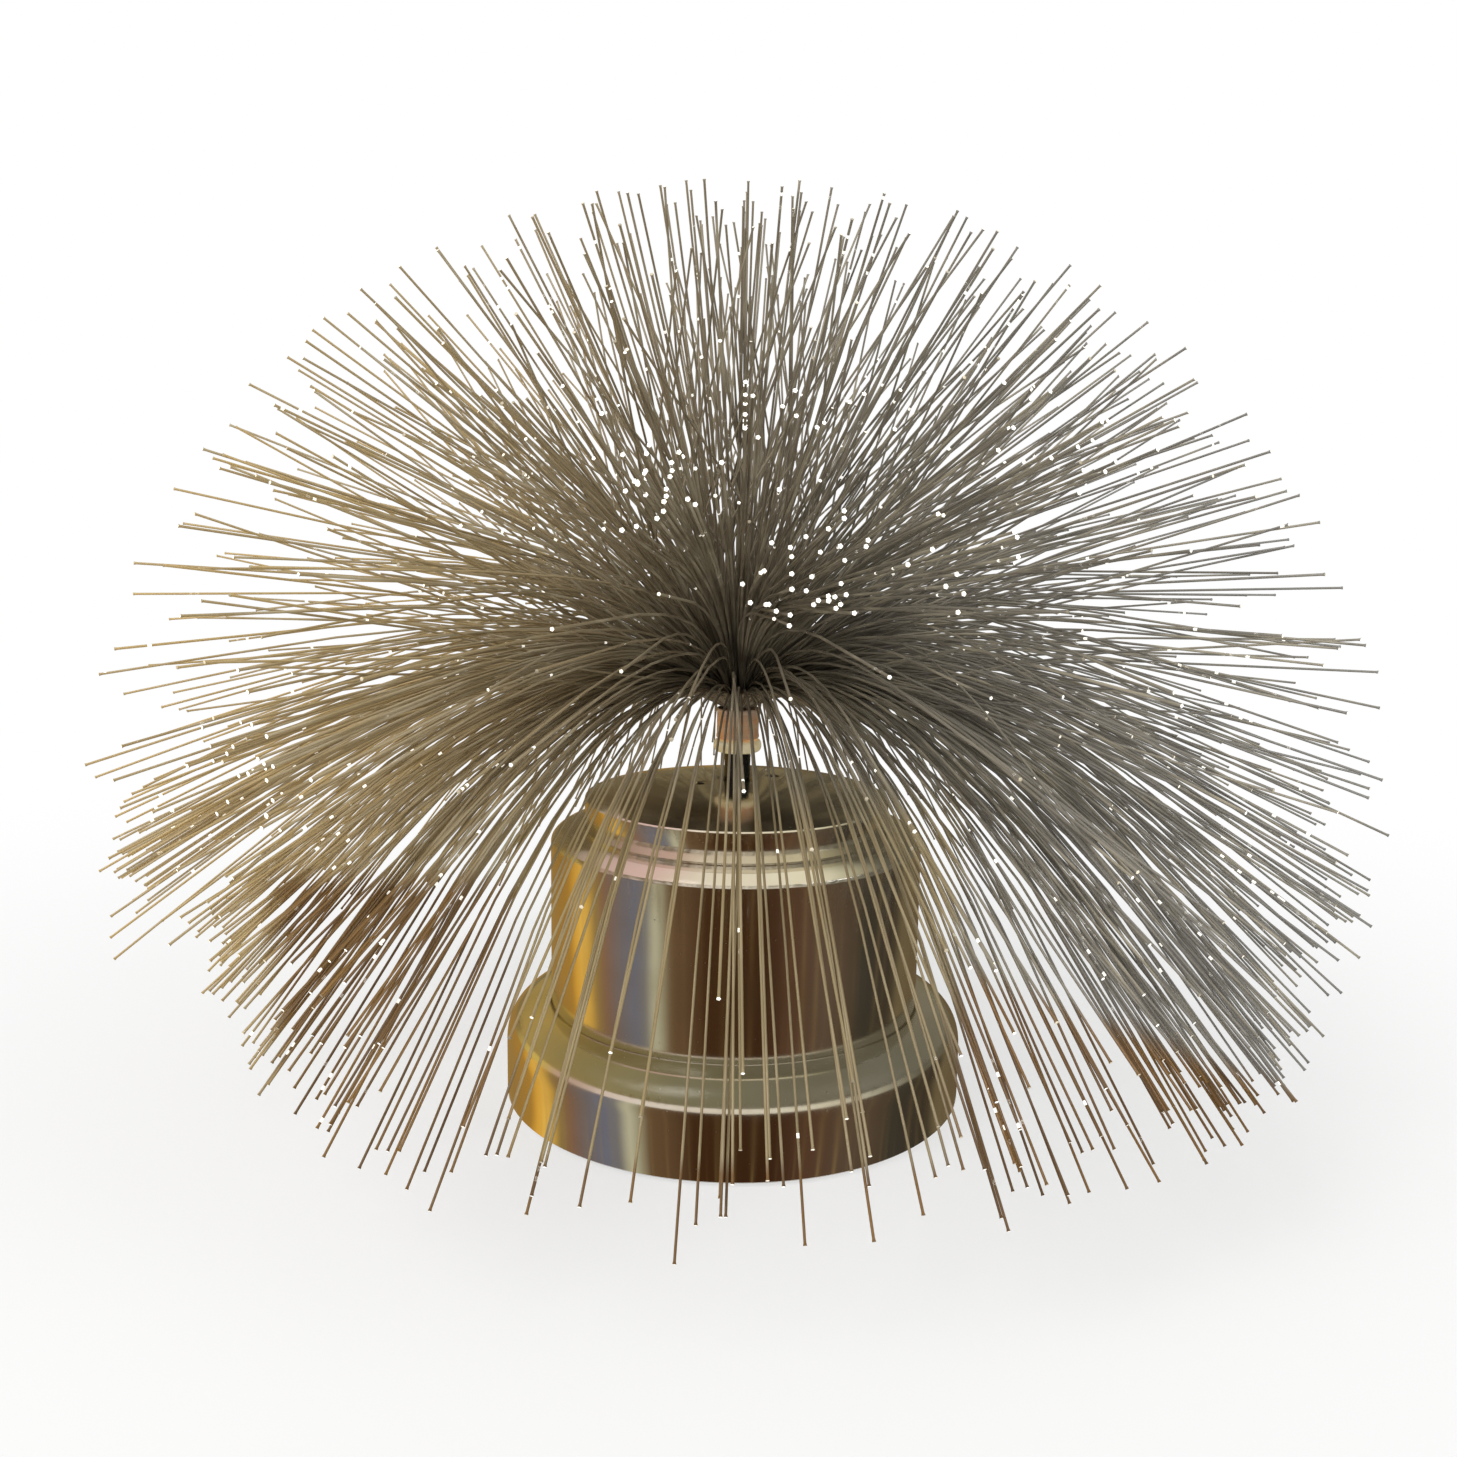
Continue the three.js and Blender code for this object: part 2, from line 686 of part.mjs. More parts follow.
// A cell along +X with its nub at the far end, centred on its length.
function cell() {
  return turned([
    [0, 0],
    [cellRadius, 0],
    [cellRadius, cellBodyLength],
    [nubRadius, cellBodyLength],
    [nubRadius, cellLength],
    [0, cellLength],
  ], plainSides).translate(0, 0, -cellLength / 2).rotateY(Math.PI / 2);
}

// A contact plate, with a solder tab through the tray's roof where the pack ends.
function contactPlate([x, y], withTab) {
  const half = contactThickness / 2;
  const plate = block([x - half, y - contactWidth / 2, cellLevel - contactHeight / 2],
    [x + half, y + contactWidth / 2, cellLevel + contactHeight / 2]);
  const tab = block([x - half, y - tabWidth / 2, cellLevel], [x + half, y + tabWidth / 2, tabTop]);
  return withTab ? join(plate, [tab]) : solid(plate);
}

// A coil along +X that starts in its contact plate.
function coil() {
  const steps = springTurns * turnSteps;
  const rings = Array.from({ length: steps + 1 }, (_, step) => {
    const turn = (2 * Math.PI * step) / turnSteps;
    const reach = springWireRadius + ((springLength - 2 * springWireRadius) * step) / steps;
    return Array.from({ length: wireSides }, (_, side) => {
      const angle = (2 * Math.PI * side) / wireSides;
      const radius = springRadius + springWireRadius * Math.cos(angle);
      const x = reach + springWireRadius * Math.sin(angle);
      return new THREE.Vector3(x, radius * Math.cos(turn), radius * Math.sin(turn));
    });
  });
  return tubeThrough(rings);
}

contactPlaces.forEach(({ side, positive, negative }, i) => {
  const springEnd = -trayHalfLength + contactThickness + springLength + 2 * clearance;
  const middle = springEnd + cellLength / 2;
  const turn = side > 0 ? 0 : Math.PI;
  const y = positive[1];
  add(`cell_${i + 1}`, cell().rotateZ(turn).translate(side * middle, y, cellLevel), cellJacket);
  const isLast = i === cellCount - 1;
  add(`contact_plate_${i + 1}`, contactPlate(positive, isLast), steel);
  const wound = coil().rotateZ(turn).translate(negative[0], y, cellLevel);
  add(`contact_spring_${i + 1}`, contactPlate(negative, i === 0).add(solid(wound)), steel);
});

// Battery door: a lid in the plate's opening with two knuckles and a tab for its screw.
function batteryDoor() {
  const halfLength = trayHalfLength - clearance;
  const halfWidth = trayHalfWidth - clearance;
  const lid = roundedPlate(halfLength, halfWidth, trayCornerRadius - trayWall, plateBottom, plateTop);
  const arms = [-1, 1].map((side) => block(
    [side * knuckleSpread - knuckleLength / 2, hingeY, plateBottom],
    [side * knuckleSpread + knuckleLength / 2, -halfWidth + overrun, plateTop]));
  const knuckles = [-1, 1].map((side) =>
    crossRod(knuckleRadius, knuckleLength, plainSides, side * knuckleSpread, hingeY, hingeZ));
  const tab = block([-doorTabWidth / 2, halfWidth - overrun, plateBottom],
    [doorTabWidth / 2, doorBossY + doorBossRadius, plateTop]);
  const pinBoreLength = 2 * (knuckleSpread + knuckleLength);
  const headTop = plateBottom + baseScrewHeadHeight;
  return cut(join(lid, [...arms, ...knuckles, tab]), [
    crossRod(pinRadius + runningClearance, pinBoreLength, screwSides, 0, hingeY, hingeZ),
    rod(baseScrewRadius + runningClearance, plateBottom, plateTop + overrun, screwSides, 0, doorBossY),
    rod(baseScrewHeadRadius + clearance, plateBottom - overrun, headTop + runningClearance,
      plainSides, 0, doorBossY),
  ]);
}
add('battery_door', batteryDoor(), matteBlack);

const doorScrew = screw(
  baseScrewRadius, baseScrewHeadRadius, baseScrewHeadHeight, doorScrewLength, false);
add('door_screw', doorScrew.translate(0, doorBossY, plateBottom), steel);

const hingePinLength = 2 * knuckleSpread + knuckleLength + 2 * fixedKnuckleLength + 2 * clearance;
add('hinge_pin', crossRod(pinRadius, hingePinLength, screwSides, 0, hingeY, hingeZ), steel);

// Slide switch: a housing on two posts with its slider below, reaching through the plate.
function switchHousing() {
  const cavityHalf = (sliderLength + switchTravel) / 2 + clearance;
  const cavityTop = switchBottom + sliderHeight + clearance;
  const housing = block([-switchLength / 2, -switchWidth / 2, switchBottom],
    [switchLength / 2, switchWidth / 2, switchTop]);
  const earReach = switchLength / 2 + switchEarLength;
  const ears = block([-earReach, -switchEarWidth / 2, switchEarBottom],
    [earReach, switchEarWidth / 2, switchEarBottom + switchEarThickness]);
  const pins = [-1, 0, 1].map((place) => block(
    [place * pinSpacing - pinLength / 2, -pinThickness / 2, switchTop - sunkLength],
    [place * pinSpacing + pinLength / 2, pinThickness / 2, switchTop + pinHeight]));
  const cavity = block([-cavityHalf, -sliderWidth / 2 - clearance, switchBottom - overrun],
    [cavityHalf, sliderWidth / 2 + clearance, cavityTop]);
  const holes = [-1, 1].map((side) => rod(passHoleRadius, switchEarBottom - overrun,
    switchEarBottom + switchEarThickness + overrun, screwSides, side * switchPostX, 0));
  return cut(join(housing, [ears, ...pins]), [cavity, ...holes]).translate([0, -switchOffset, 0]);
}
add('switch_housing', switchHousing(), steel);

// The slider at its off end.
function switchSlider() {
  const shoe = block([-sliderLength / 2, -sliderWidth / 2, switchBottom],
    [sliderLength / 2, sliderWidth / 2, switchBottom + sliderHeight]);
  const nub = block([-nubLengthX / 2, -nubWidth / 2, plateBottom - nubProud],
    [nubLengthX / 2, nubWidth / 2, switchBottom + sunkLength]);
  return join(shoe, [nub]).translate([-switchTravel / 2, -switchOffset, 0]);
}
add('switch_slider', switchSlider(), whitePlastic);

[-1, 1].forEach((side, i) => {
  const top = switchEarBottom + switchEarThickness + smallScrewHeadHeight;
  const place = smallScrew(true).translate(side * switchPostX, -switchOffset, top);
  add(`switch_screw_${i + 1}`, place, steel);
});

// Lamp holder: a flange under the dome, a neck that guides the stem and a bell for the light.
function lampHolder() {
  const boreRadius = stemRadius + runningClearance;
  const neck = turnedRing([
    [boreRadius, holderTop],
    [holderFlangeRadius, holderTop],
    [holderFlangeRadius, holderTop - holderFlangeThickness],
    [holderNeckRadius, holderTop - holderFlangeThickness],
    [holderNeckRadius, bellTop],
    [bellRadius, bellTop],
    [bellRadius, bellBottom],
    [bellRadius - bellWall, bellBottom],
    [bellRadius - bellWall, bellRoof],
    [stemBoreRadius, bellRoof],
    [stemBoreRadius, stemSeat],
    [boreRadius, stemSeat],
  ], fineSides);
  const flangeBottom = holderTop - holderFlangeThickness;
  const bosses = capScrewPlaces.map(([x, y]) => rod(
    holderBossRadius, flangeBottom - holderBossLength, flangeBottom + sunkLength, screwSides, x, y));
  const ears = [-1, 1].map((side) => {
    const near = side * (bellRadius - bellWall / 2);
    const far = side * (bellRadius + earLength);
    return block([Math.min(near, far), -earWidth / 2, bellBottom],
      [Math.max(near, far), earWidth / 2, bellBottom + earThickness]);
  });
  const bores = capScrewPlaces.map(([x, y]) =>
    rod(smallBoreRadius, flangeBottom - holderBossLength + sunkLength, holderTop + overrun,
      screwSides, x, y));
  const earHoles = [-1, 1].map((side) =>
    rod(smallBoreRadius, bellBottom - overrun, bellBottom + earThickness + overrun,
      screwSides, side * earHoleX, 0));
  return cut(join(neck, [...bosses, ...ears]), [...bores, ...earHoles]);
}
add('lamp_holder', lampHolder(), whitePlastic);

capScrewPlaces.forEach(([x, y], i) => {
  const headTop = domeHeight(capScrewOffset) - clearance / 2;
  const shape = screw(smallScrewRadius, capScrewHeadRadius, capScrewHeadHeight, capScrewLength, true);
  add(`cap_screw_${i + 1}`, shape.translate(x, y, headTop), darkSteel);
});

// Reflector cup: straight round the diodes, then a cone that leads the light to the bundle.
function lightCup() {
  const radius = bellRadius - bellWall - clearance;
  const top = bellRoof - clearance;
  return turnedRing([
    [cupMouthRadius, bellBottom],
    [radius, bellBottom],
    [radius, top],
    [stemBoreRadius, top],
    [cupConeRadius, bellBottom + cupCylinderHeight],
  ], fineSides);
}
add('light_cup', lightCup(), whitePlastic);

// Light board with a hole for each of its two screws.
function ledBoard() {
  const board = roundedPlate(
    boardLength / 2, boardWidth / 2, boardCornerRadius, boardBottom, boardTop);
  const holes = [-1, 1].map((side) =>
    rod(passHoleRadius, boardBottom - overrun, boardTop + overrun, screwSides, side * earHoleX, 0));
  return cut(solid(board), holes);
}
add('led_board', ledBoard(), boardGreen);

[-1, 1].forEach((side, i) => {
  const head = boardBottom - smallScrewHeadHeight;
  add(`board_screw_${i + 1}`, smallScrew(false).translate(side * earHoleX, 0, head), steel);
});

const chipCorner = [-chipLength / 2, chipOffset - chipWidth / 2, boardBottom - clearance - chipHeight];
const chipFar = [chipLength / 2, chipOffset + chipWidth / 2, boardBottom - clearance];
add('flasher_chip', block(chipCorner, chipFar), blackPlastic);

// A light-emitting diode: flange, barrel and round tip.
function diode() {
  return turned([
    [0, 0],
    [ledFlangeRadius, 0],
    [ledFlangeRadius, ledFlangeHeight],
    [ledRadius, ledFlangeHeight],
    ...quarterEllipse(0, ledHeight - ledRadius, ledRadius, ledRadius, roundSteps),
  ], plainSides);
}

Object.entries(ledMaterials).slice(0, ledCount).forEach(([colour, look], i) => {
  const [x, y] = around(ledOffset, Math.PI / 2 + (2 * Math.PI * i) / ledCount);
  add(`led_${colour}`, diode().translate(x, y, boardTop + clearance), look);
});

// Stem: a black tube that stands in the holder and leads the bundle out of the dome.
const stemProfile = [
  [stemBoreRadius, stemBottom],
  [stemRadius, stemBottom],
  [stemRadius, stemTop],
  [stemBoreRadius, stemTop],
];
add('stem', turnedRing(stemProfile, fineSides), blackPlastic);

// Seat ring: a bulged cream collar on the stem's top, under the ferrule.
function seatRing() {
  const sleeveRadius = stemRadius + runningClearance;
  const sleeveTop = stemTop + clearance;
  return turnedRing([
    [sleeveRadius, ringBottom],
    [ringRadius - ringBulge, ringBottom],
    [ringRadius, ringBottom + ringHeight / 4],
    [ringRadius, ringTop - ringHeight / 4],
    [ringRadius - ringBulge, ringTop],
    [stemBoreRadius, ringTop],
    [stemBoreRadius, sleeveTop],
    [sleeveRadius, sleeveTop],
  ], fineSides);
}
add('seat_ring', seatRing(), creamPlastic);

// Ferrule: a thin copper cup that gathers the fibres.
function ferrule() {
  const bore = ferruleRadius - ferruleWall;
  const floor = ferruleBottom + ferruleFloor;
  return turnedRing([
    [stemBoreRadius, ferruleBottom],
    [ferruleRadius, ferruleBottom],
    [ferruleRadius, ferruleTop],
    [bore, ferruleTop],
    [bore, floor],
    [stemBoreRadius, floor],
  ], fineSides);
}
add('ferrule', ferrule(), copper);

// Fibre tail: the potted bundle, thin in the stem and wide in the ferrule.
function fibreTail() {
  return turned([
    [0, stemBottom],
    [tailRadius, stemBottom],
    [tailRadius, tailHeadBottom],
    [bundleRadius, tailHeadBottom + tailConeHeight],
    [bundleRadius, tailTop],
    [0, tailTop],
  ], fineSides);
}
add('fibre_tail', fibreTail(), fibre);

// A fibre's angle from upright at a share of its length. It bends most near its root, as a
// fibre does under its own weight, and is nearly straight at its tip.
function strandAngle(tilt, droop, share) {
  return tilt + droop * (1 - (1 - share) ** bendPower);
}

// Stops along a fibre, each with its reach and climb from the root and its angle there.
function strandStops(tilt, droop, length, steps) {
  const stops = [{ reach: 0, climb: 0, angle: tilt }];
  for (let step = 1; step <= steps; step += 1) {
    const from = ((step - 1) / steps) ** stopPower;
    const stretch = ((step / steps) ** stopPower - from) / bendSteps;
    const { reach, climb } = stops[step - 1];
    const stop = { reach, climb, angle: strandAngle(tilt, droop, from + stretch * bendSteps) };
    for (let i = 0; i < bendSteps; i += 1) {
      const angle = strandAngle(tilt, droop, from + stretch * (i + 0.5));
      stop.reach += length * stretch * Math.sin(angle);
      stop.climb += length * stretch * Math.cos(angle);
    }
    stops.push(stop);
  }
  return stops;
}

// One fibre in its own upright plane: it leaves the bundle at a tilt that grows from the
// middle outwards, so that no fibre meets another, rises and then arches down.
// Its root keeps clear of the slice's edges, and its heading fills the whole quarter.
function strand(rank, spread) {
  const tiltShare = Math.sqrt(rank);
  const tilt = lowestTilt * tiltShare;
  const droop = lowestDroop * tiltShare ** droopPower;
  const length = uprightLength + (lowestLength - uprightLength) * tiltShare ** lengthPower;
  const outermost = bundleRadius - strandEdgeInset;
  const root = Math.sqrt(firstStrandRadius ** 2 + rank * (outermost ** 2 - firstStrandRadius ** 2));
  const edgeAngle = Math.asin((quadrantSpacing / 2 + strandEdgeInset) / root);
  const azimuth = edgeAngle + spread * (Math.PI / 2 - 2 * edgeAngle);
  const heading = spread * (Math.PI / 2);
  const steps = fewestSteps + Math.round((mostSteps - fewestSteps) * tiltShare);
  const foot = new THREE.Vector3(...around(root, azimuth), sliceTop - sunkLength);
  const outward = new THREE.Vector3(...around(1, heading), 0);
  const across = new THREE.Vector3(-outward.y, outward.x, 0);
  const up = new THREE.Vector3(0, 0, 1);
  const stops = strandStops(tilt, droop, length, steps);
  const rings = stops.map(({ reach, climb, angle }, step) => {
    const centre = foot.clone().addScaledVector(outward, reach).addScaledVector(up, climb);
    const normal = outward.clone().multiplyScalar(Math.cos(angle)).addScaledVector(up, -Math.sin(angle));
    const radius = step === 0 ? strandRootRadius : strandTipRadius;
    return Array.from({ length: strandSides }, (_side, side) => {
      const turn = (2 * Math.PI * side) / strandSides;
      return centre.clone()
        .addScaledVector(normal, radius * Math.cos(turn))
        .addScaledVector(across, radius * Math.sin(turn));
    });
  });
  return tubeThrough(rings);
}

// A quarter of the potted end, clear of its neighbours.
function potSlice() {
  const edge = quadrantSpacing / 2;
  const disc = solid(rod(bundleRadius, sliceBottom, sliceTop, fineSides));
  const corner = block([edge, edge, sliceBottom - overrun],
    [edge + bundleRadius, edge + bundleRadius, sliceTop + overrun]);
  return disc.intersect(solid(corner));
}

// A quarter of the spray: its fibres stand in their slice of the potted end.
function fibreQuadrant() {
  const strands = Array.from({ length: strandsPerQuadrant }, (_, i) => {
    const rank = (i + 0.5) / strandsPerQuadrant;
    const spread = (i * goldenShare) % 1;
    return solid(strand(rank, spread));
  });
  return strands.reduce((sum, piece) => sum.add(piece), potSlice());
}

const quadrant = fibreQuadrant();
for (let i = 0; i < quadrantCount; i += 1) {
  const turnDegrees = (360 * i) / quadrantCount;
  add(`fibre_spray_${i + 1}`, quadrant.rotate([0, 0, turnDegrees]), fibre);
}

// Hook-up wires: each leaves its solder point upright, sags over the tray and ends upright.
const section = new THREE.Shape();
section.absarc(0, 0, wireRadius, 0, 2 * Math.PI);

function wire(start, startRise, end, endRise) {
  const from = new THREE.Vector3(...start);
  const to = new THREE.Vector3(...end);
  const route = new THREE.CubicBezierCurve3(
    from,
    from.clone().add(new THREE.Vector3(0, 0, startRise)),
    to.clone().add(new THREE.Vector3(0, 0, endRise)),
    to,
  );
  return new THREE.ExtrudeGeometry(section, {
    extrudePath: route,
    steps: wireSteps,
    curveSegments: wireSectionSteps,
    bevelEnabled: false,
  });
}

const tabLevel = tabTop + clearance;
const pinLevel = switchTop + pinHeight + clearance;
const boardLevel = boardBottom - clearance;
const [supplyX, supplyY] = contactPlaces.at(-1).positive;
const [returnX, returnY] = contactPlaces[0].negative;
const supplyWire = wire(
  [supplyX, supplyY, tabLevel], supplyRise, [pinSpacing, -switchOffset, pinLevel], supplyDrop);
const switchedWire = wire(
  [0, -switchOffset, pinLevel], switchedRise, [-boardWireX, -boardWireY, boardLevel], -boardDrop);
const returnWire = wire(
  [returnX, returnY, tabLevel], boardDrop, [-boardWireX, boardWireY, boardLevel], -boardDrop);
add('supply_wire', supplyWire, redWire);
add('switched_wire', switchedWire, yellowWire);
add('return_wire', returnWire, blackWire);

export default lamp;
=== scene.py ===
import math
import random

import bmesh
import bpy
from mathutils import Matrix, Vector


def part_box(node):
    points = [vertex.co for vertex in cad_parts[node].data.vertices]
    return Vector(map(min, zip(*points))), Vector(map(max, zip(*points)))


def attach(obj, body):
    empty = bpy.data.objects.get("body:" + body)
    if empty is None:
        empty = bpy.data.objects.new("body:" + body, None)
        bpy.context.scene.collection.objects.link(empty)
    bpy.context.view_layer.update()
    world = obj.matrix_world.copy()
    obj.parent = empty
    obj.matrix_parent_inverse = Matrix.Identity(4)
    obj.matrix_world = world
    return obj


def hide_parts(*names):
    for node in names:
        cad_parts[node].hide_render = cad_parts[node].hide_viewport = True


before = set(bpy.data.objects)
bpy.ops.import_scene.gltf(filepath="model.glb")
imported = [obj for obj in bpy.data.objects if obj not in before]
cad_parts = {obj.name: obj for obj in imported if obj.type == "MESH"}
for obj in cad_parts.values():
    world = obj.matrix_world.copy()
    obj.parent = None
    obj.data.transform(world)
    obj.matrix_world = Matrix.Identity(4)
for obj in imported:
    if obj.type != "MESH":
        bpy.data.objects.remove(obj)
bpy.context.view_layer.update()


# Base plate. One black moulding closes the foot from below and carries the tray and the
# switch on posts. Its faces have the fine grain of a spark-eroded mould, rubbed in places.
class Signal:
    """A value between nodes, with arithmetic that adds Math nodes."""

    def __init__(self, nodes, socket):
        self.nodes = nodes
        self.socket = socket

    def __add__(self, other):
        return self.nodes.math("ADD", self, other)

    __radd__ = __add__

    def __sub__(self, other):
        return self.nodes.math("SUBTRACT", self, other)

    def __rsub__(self, other):
        return self.nodes.math("SUBTRACT", other, self)

    def __mul__(self, other):
        return self.nodes.math("MULTIPLY", self, other)

    __rmul__ = __mul__

    def __truediv__(self, other):
        return self.nodes.math("DIVIDE", self, other)

    def __rtruediv__(self, other):
        return self.nodes.math("DIVIDE", other, self)

    def __pow__(self, other):
        return self.nodes.math("POWER", self, other)

    def __gt__(self, other):
        return self.nodes.math("GREATER_THAN", self, other)


class Nodes:
    """The nodes of a material or of the air, in which a string is a screen colour."""

    def __init__(self, owner, shader, values):
        owner.use_nodes = True
        self.owner = owner
        self.tree = owner.node_tree
        self.shader = self.tree.nodes[shader]
        self.fill(self.shader, values)

    def fill(self, made, values):
        for key, value in values.items():
            if isinstance(value, Signal):
                self.tree.links.new(value.socket, made.inputs[key])
            else:
                made.inputs[key].default_value = colour(value) if isinstance(value, str) else value

    def node(self, kind, settings, values, output=0):
        made = self.tree.nodes.new(kind)
        for name, value in settings.items():
            if name == "stops":
                self.set_stops(made.color_ramp, value)
            else:
                setattr(made, name, value)
        self.fill(made, values)
        return Signal(self, made.outputs[output])

    def set_stops(self, ramp, stops):
        while len(ramp.elements) < len(stops):
            ramp.elements.new(1.0)
        for element, (place, code) in zip(ramp.elements, stops):
            element.position = place
            element.color = colour(code)

    def math(self, operation, *values):
        return self.node("ShaderNodeMath", {"operation": operation}, dict(enumerate(values)))

    def place(self):
        return self.node("ShaderNodeTexCoord", {}, {}, "Object")

    def stretched(self, scale):
        return self.node("ShaderNodeMapping", {}, {"Vector": self.place(), "Scale": scale})

    def attribute(self, name):
        return self.node("ShaderNodeAttribute", {"attribute_name": name}, {}, "Fac")

    def ray(self, kind):
        return self.node("ShaderNodeLightPath", {}, {}, f"Is {kind} Ray")

    def part_of(self, vector, letter):
        return self.node("ShaderNodeSeparateXYZ", {}, {0: vector}, letter)

    def noise(self, scale, detail=2.0, vector=None):
        values = {"Scale": scale, "Detail": detail, "Vector": vector or self.place()}
        return self.node("ShaderNodeTexNoise", {}, values, "Fac")

    def ramp(self, signal, stops):
        return self.node("ShaderNodeValToRGB", {"stops": stops}, {0: signal})

    def band(self, signal, low, high):
        values = {0: signal, 1: low, 2: high, 3: 0.0, 4: 1.0}
        settings = {"interpolation_type": "SMOOTHSTEP", "clamp": True}
        return self.node("ShaderNodeMapRange", settings, values)

    def mix(self, share, first, second):
        settings = {"data_type": "RGBA", "clamp_factor": True}
        return self.node("ShaderNodeMix", settings, {0: share, 6: first, 7: second}, 2)

    def set(self, socket, signal):
        self.fill(self.shader, {socket: signal})


class Finish(Nodes):
    """A material written as expressions."""

    def __init__(self, name, values):
        super().__init__(bpy.data.materials.new(name), "Principled BSDF", values)

    def surface(self, shade, roughness, height, relief):
        """Sets the colour, the roughness and a relief in metres, and gives the material."""
        bump = {"Height": height, "Distance": relief, "Strength": 1.0}
        normal = self.node("ShaderNodeBump", {}, bump)
        self.fill(self.shader, {"Base Color": shade, "Roughness": roughness, "Normal": normal})
        return self.owner

    def show(self, shader):
        """Shows another shader than the usual one, and gives the material."""
        self.fill(self.tree.nodes["Material Output"], {"Surface": shader})
        return self.owner


def colour(code):
    """The linear colour of a screen colour such as C79A3A."""
    parts = [int(code[i:i + 2], 16) / 255 for i in (0, 2, 4)]
    linear = [part / 12.92 if part <= 0.04045 else ((part + 0.055) / 1.055) ** 2.4 for part in parts]
    return (*linear, 1.0)


def moulded(name, shade, rubbed, roughness, grain, relief):
    """Moulded plastic: clouded colour, a grained face and smoother rubbed places."""
    look = Finish(name, {"IOR": 1.5})
    fine = look.noise(grain)
    wear = look.band(look.noise(grain / 20, 4.0), 0.48, 0.72)
    return look.surface(look.mix(wear, shade, rubbed), roughness - wear * 0.14 + fine * 0.08, fine, relief)


def dress(material, *nodes):
    """Gives CAD nodes, whose shapes stay, their finish."""
    for name in nodes:
        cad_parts[name].material_slots[0].material = material


black_moulding = moulded("black_moulding", "141414", "2C2B29", 0.62, 6000, 0.00004)
dress(black_moulding, "base_plate")


# Feet and screws. Four rubber pads stick in shallow pockets of the plate, and three zinc-plated
# cross-head screws go up through it into the foot's bosses.
millimetre = 0.001


def spun(shape, profile, steps, closed=True, centre=(0.0, 0.0)):
    """Spins a profile of (radius, height) round an upright axis through centre, all in mm."""
    x, y = centre
    points = [shape.verts.new(Vector((x + radius, y, height)) * millimetre) for radius, height in profile]
    pairs = list(zip(points, points[1:]))
    if closed:
        pairs.append((points[-1], points[0]))
    edges = [shape.edges.new(pair) for pair in pairs]
    bmesh.ops.spin(
        shape, geom=points + edges, cent=Vector((x, y, 0)) * millimetre, axis=(0, 0, 1),
        angle=2 * math.pi, steps=steps, use_merge=True)


def tidied(shape):
    """Merges the poles and seams and turns the faces outwards."""
    bmesh.ops.remove_doubles(shape, verts=shape.verts, dist=millimetre / 500)
    bmesh.ops.recalc_face_normals(shape, faces=shape.faces)


def turn_round(shape, verts, angle, axis):
    """Turns vertices round an axis through the origin."""
    bmesh.ops.rotate(shape, verts=verts, cent=(0, 0, 0), matrix=Matrix.Rotation(angle, 3, axis))


def soften(shape, width):
    """Rounds every sharp edge by a width in mm."""
    sharp_angle = 0.6
    sharp = [edge for edge in shape.edges if edge.calc_face_angle(0) > sharp_angle]
    bmesh.ops.bevel(
        shape, geom=sharp, offset=width * millimetre, affect="EDGES", segments=2, profile=0.5,
        material=-1, clamp_overlap=True)


def as_mesh(name, shape, materials=()):
    """Turns a shape into a mesh."""
    mesh = bpy.data.meshes.new(name)
    shape.to_mesh(mesh)
    shape.free()
    for material in materials:
        mesh.materials.append(material)
    return mesh


def in_scene(name, data):
    """Puts a mesh, a lamp or a camera in the scene."""
    made = bpy.data.objects.new(name, data)
    bpy.context.scene.collection.objects.link(made)
    return made


def piece(name, shape, materials, body, slot, *nodes):
    """Makes a shape a piece that moves with a body and stands for CAD nodes."""
    mesh = as_mesh(name, shape, materials)
    mesh.shade_smooth()
    made = in_scene(name, mesh)
    even_shading = made.modifiers.new("even_shading", "WEIGHTED_NORMAL")
    even_shading.weight = 90
    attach(made, body)
    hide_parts(*nodes)


def middle(node):
    """The middle of a CAD node's box from above, and its lowest and highest level, in mm."""
    low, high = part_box(node)
    centre = (low + high) / 2 / millimetre
    return (centre.x, centre.y), low.z / millimetre, high.z / millimetre


rubber = moulded("pad_rubber", "1C1B1A", "34322F", 0.86, 2500, 0.00006)
pad_radius = 4.5
pad_dish = 0.25
pad_round = 0.2
for number in range(1, 5):
    centre, bottom, top = middle(f"foot_pad_{number}")
    pad = bmesh.new()
    pad_profile = [
        (0, bottom + pad_dish), (pad_radius * 0.7, bottom + pad_dish), (pad_radius * 0.78, bottom),
        (pad_radius, bottom), (pad_radius, top), (0, top),
    ]
    spun(pad, pad_profile, 40, closed=False, centre=centre)
    tidied(pad)
    soften(pad, pad_round)
    piece(f"rubber_pad_{number}", pad, [rubber], "base", "rubber", f"foot_pad_{number}")


def plated(name, shade, dull, roughness, scale):
    """Plated metal: faint clouds of tarnish and fine drawing marks."""
    look = Finish(name, {"Metallic": 1.0})
    cloud = look.noise(scale / 8, 3.0)
    tarnished = look.mix(look.band(cloud, 0.4, 0.75), shade, dull)
    return look.surface(tarnished, roughness + cloud * 0.18, look.noise(scale), 0.00001)


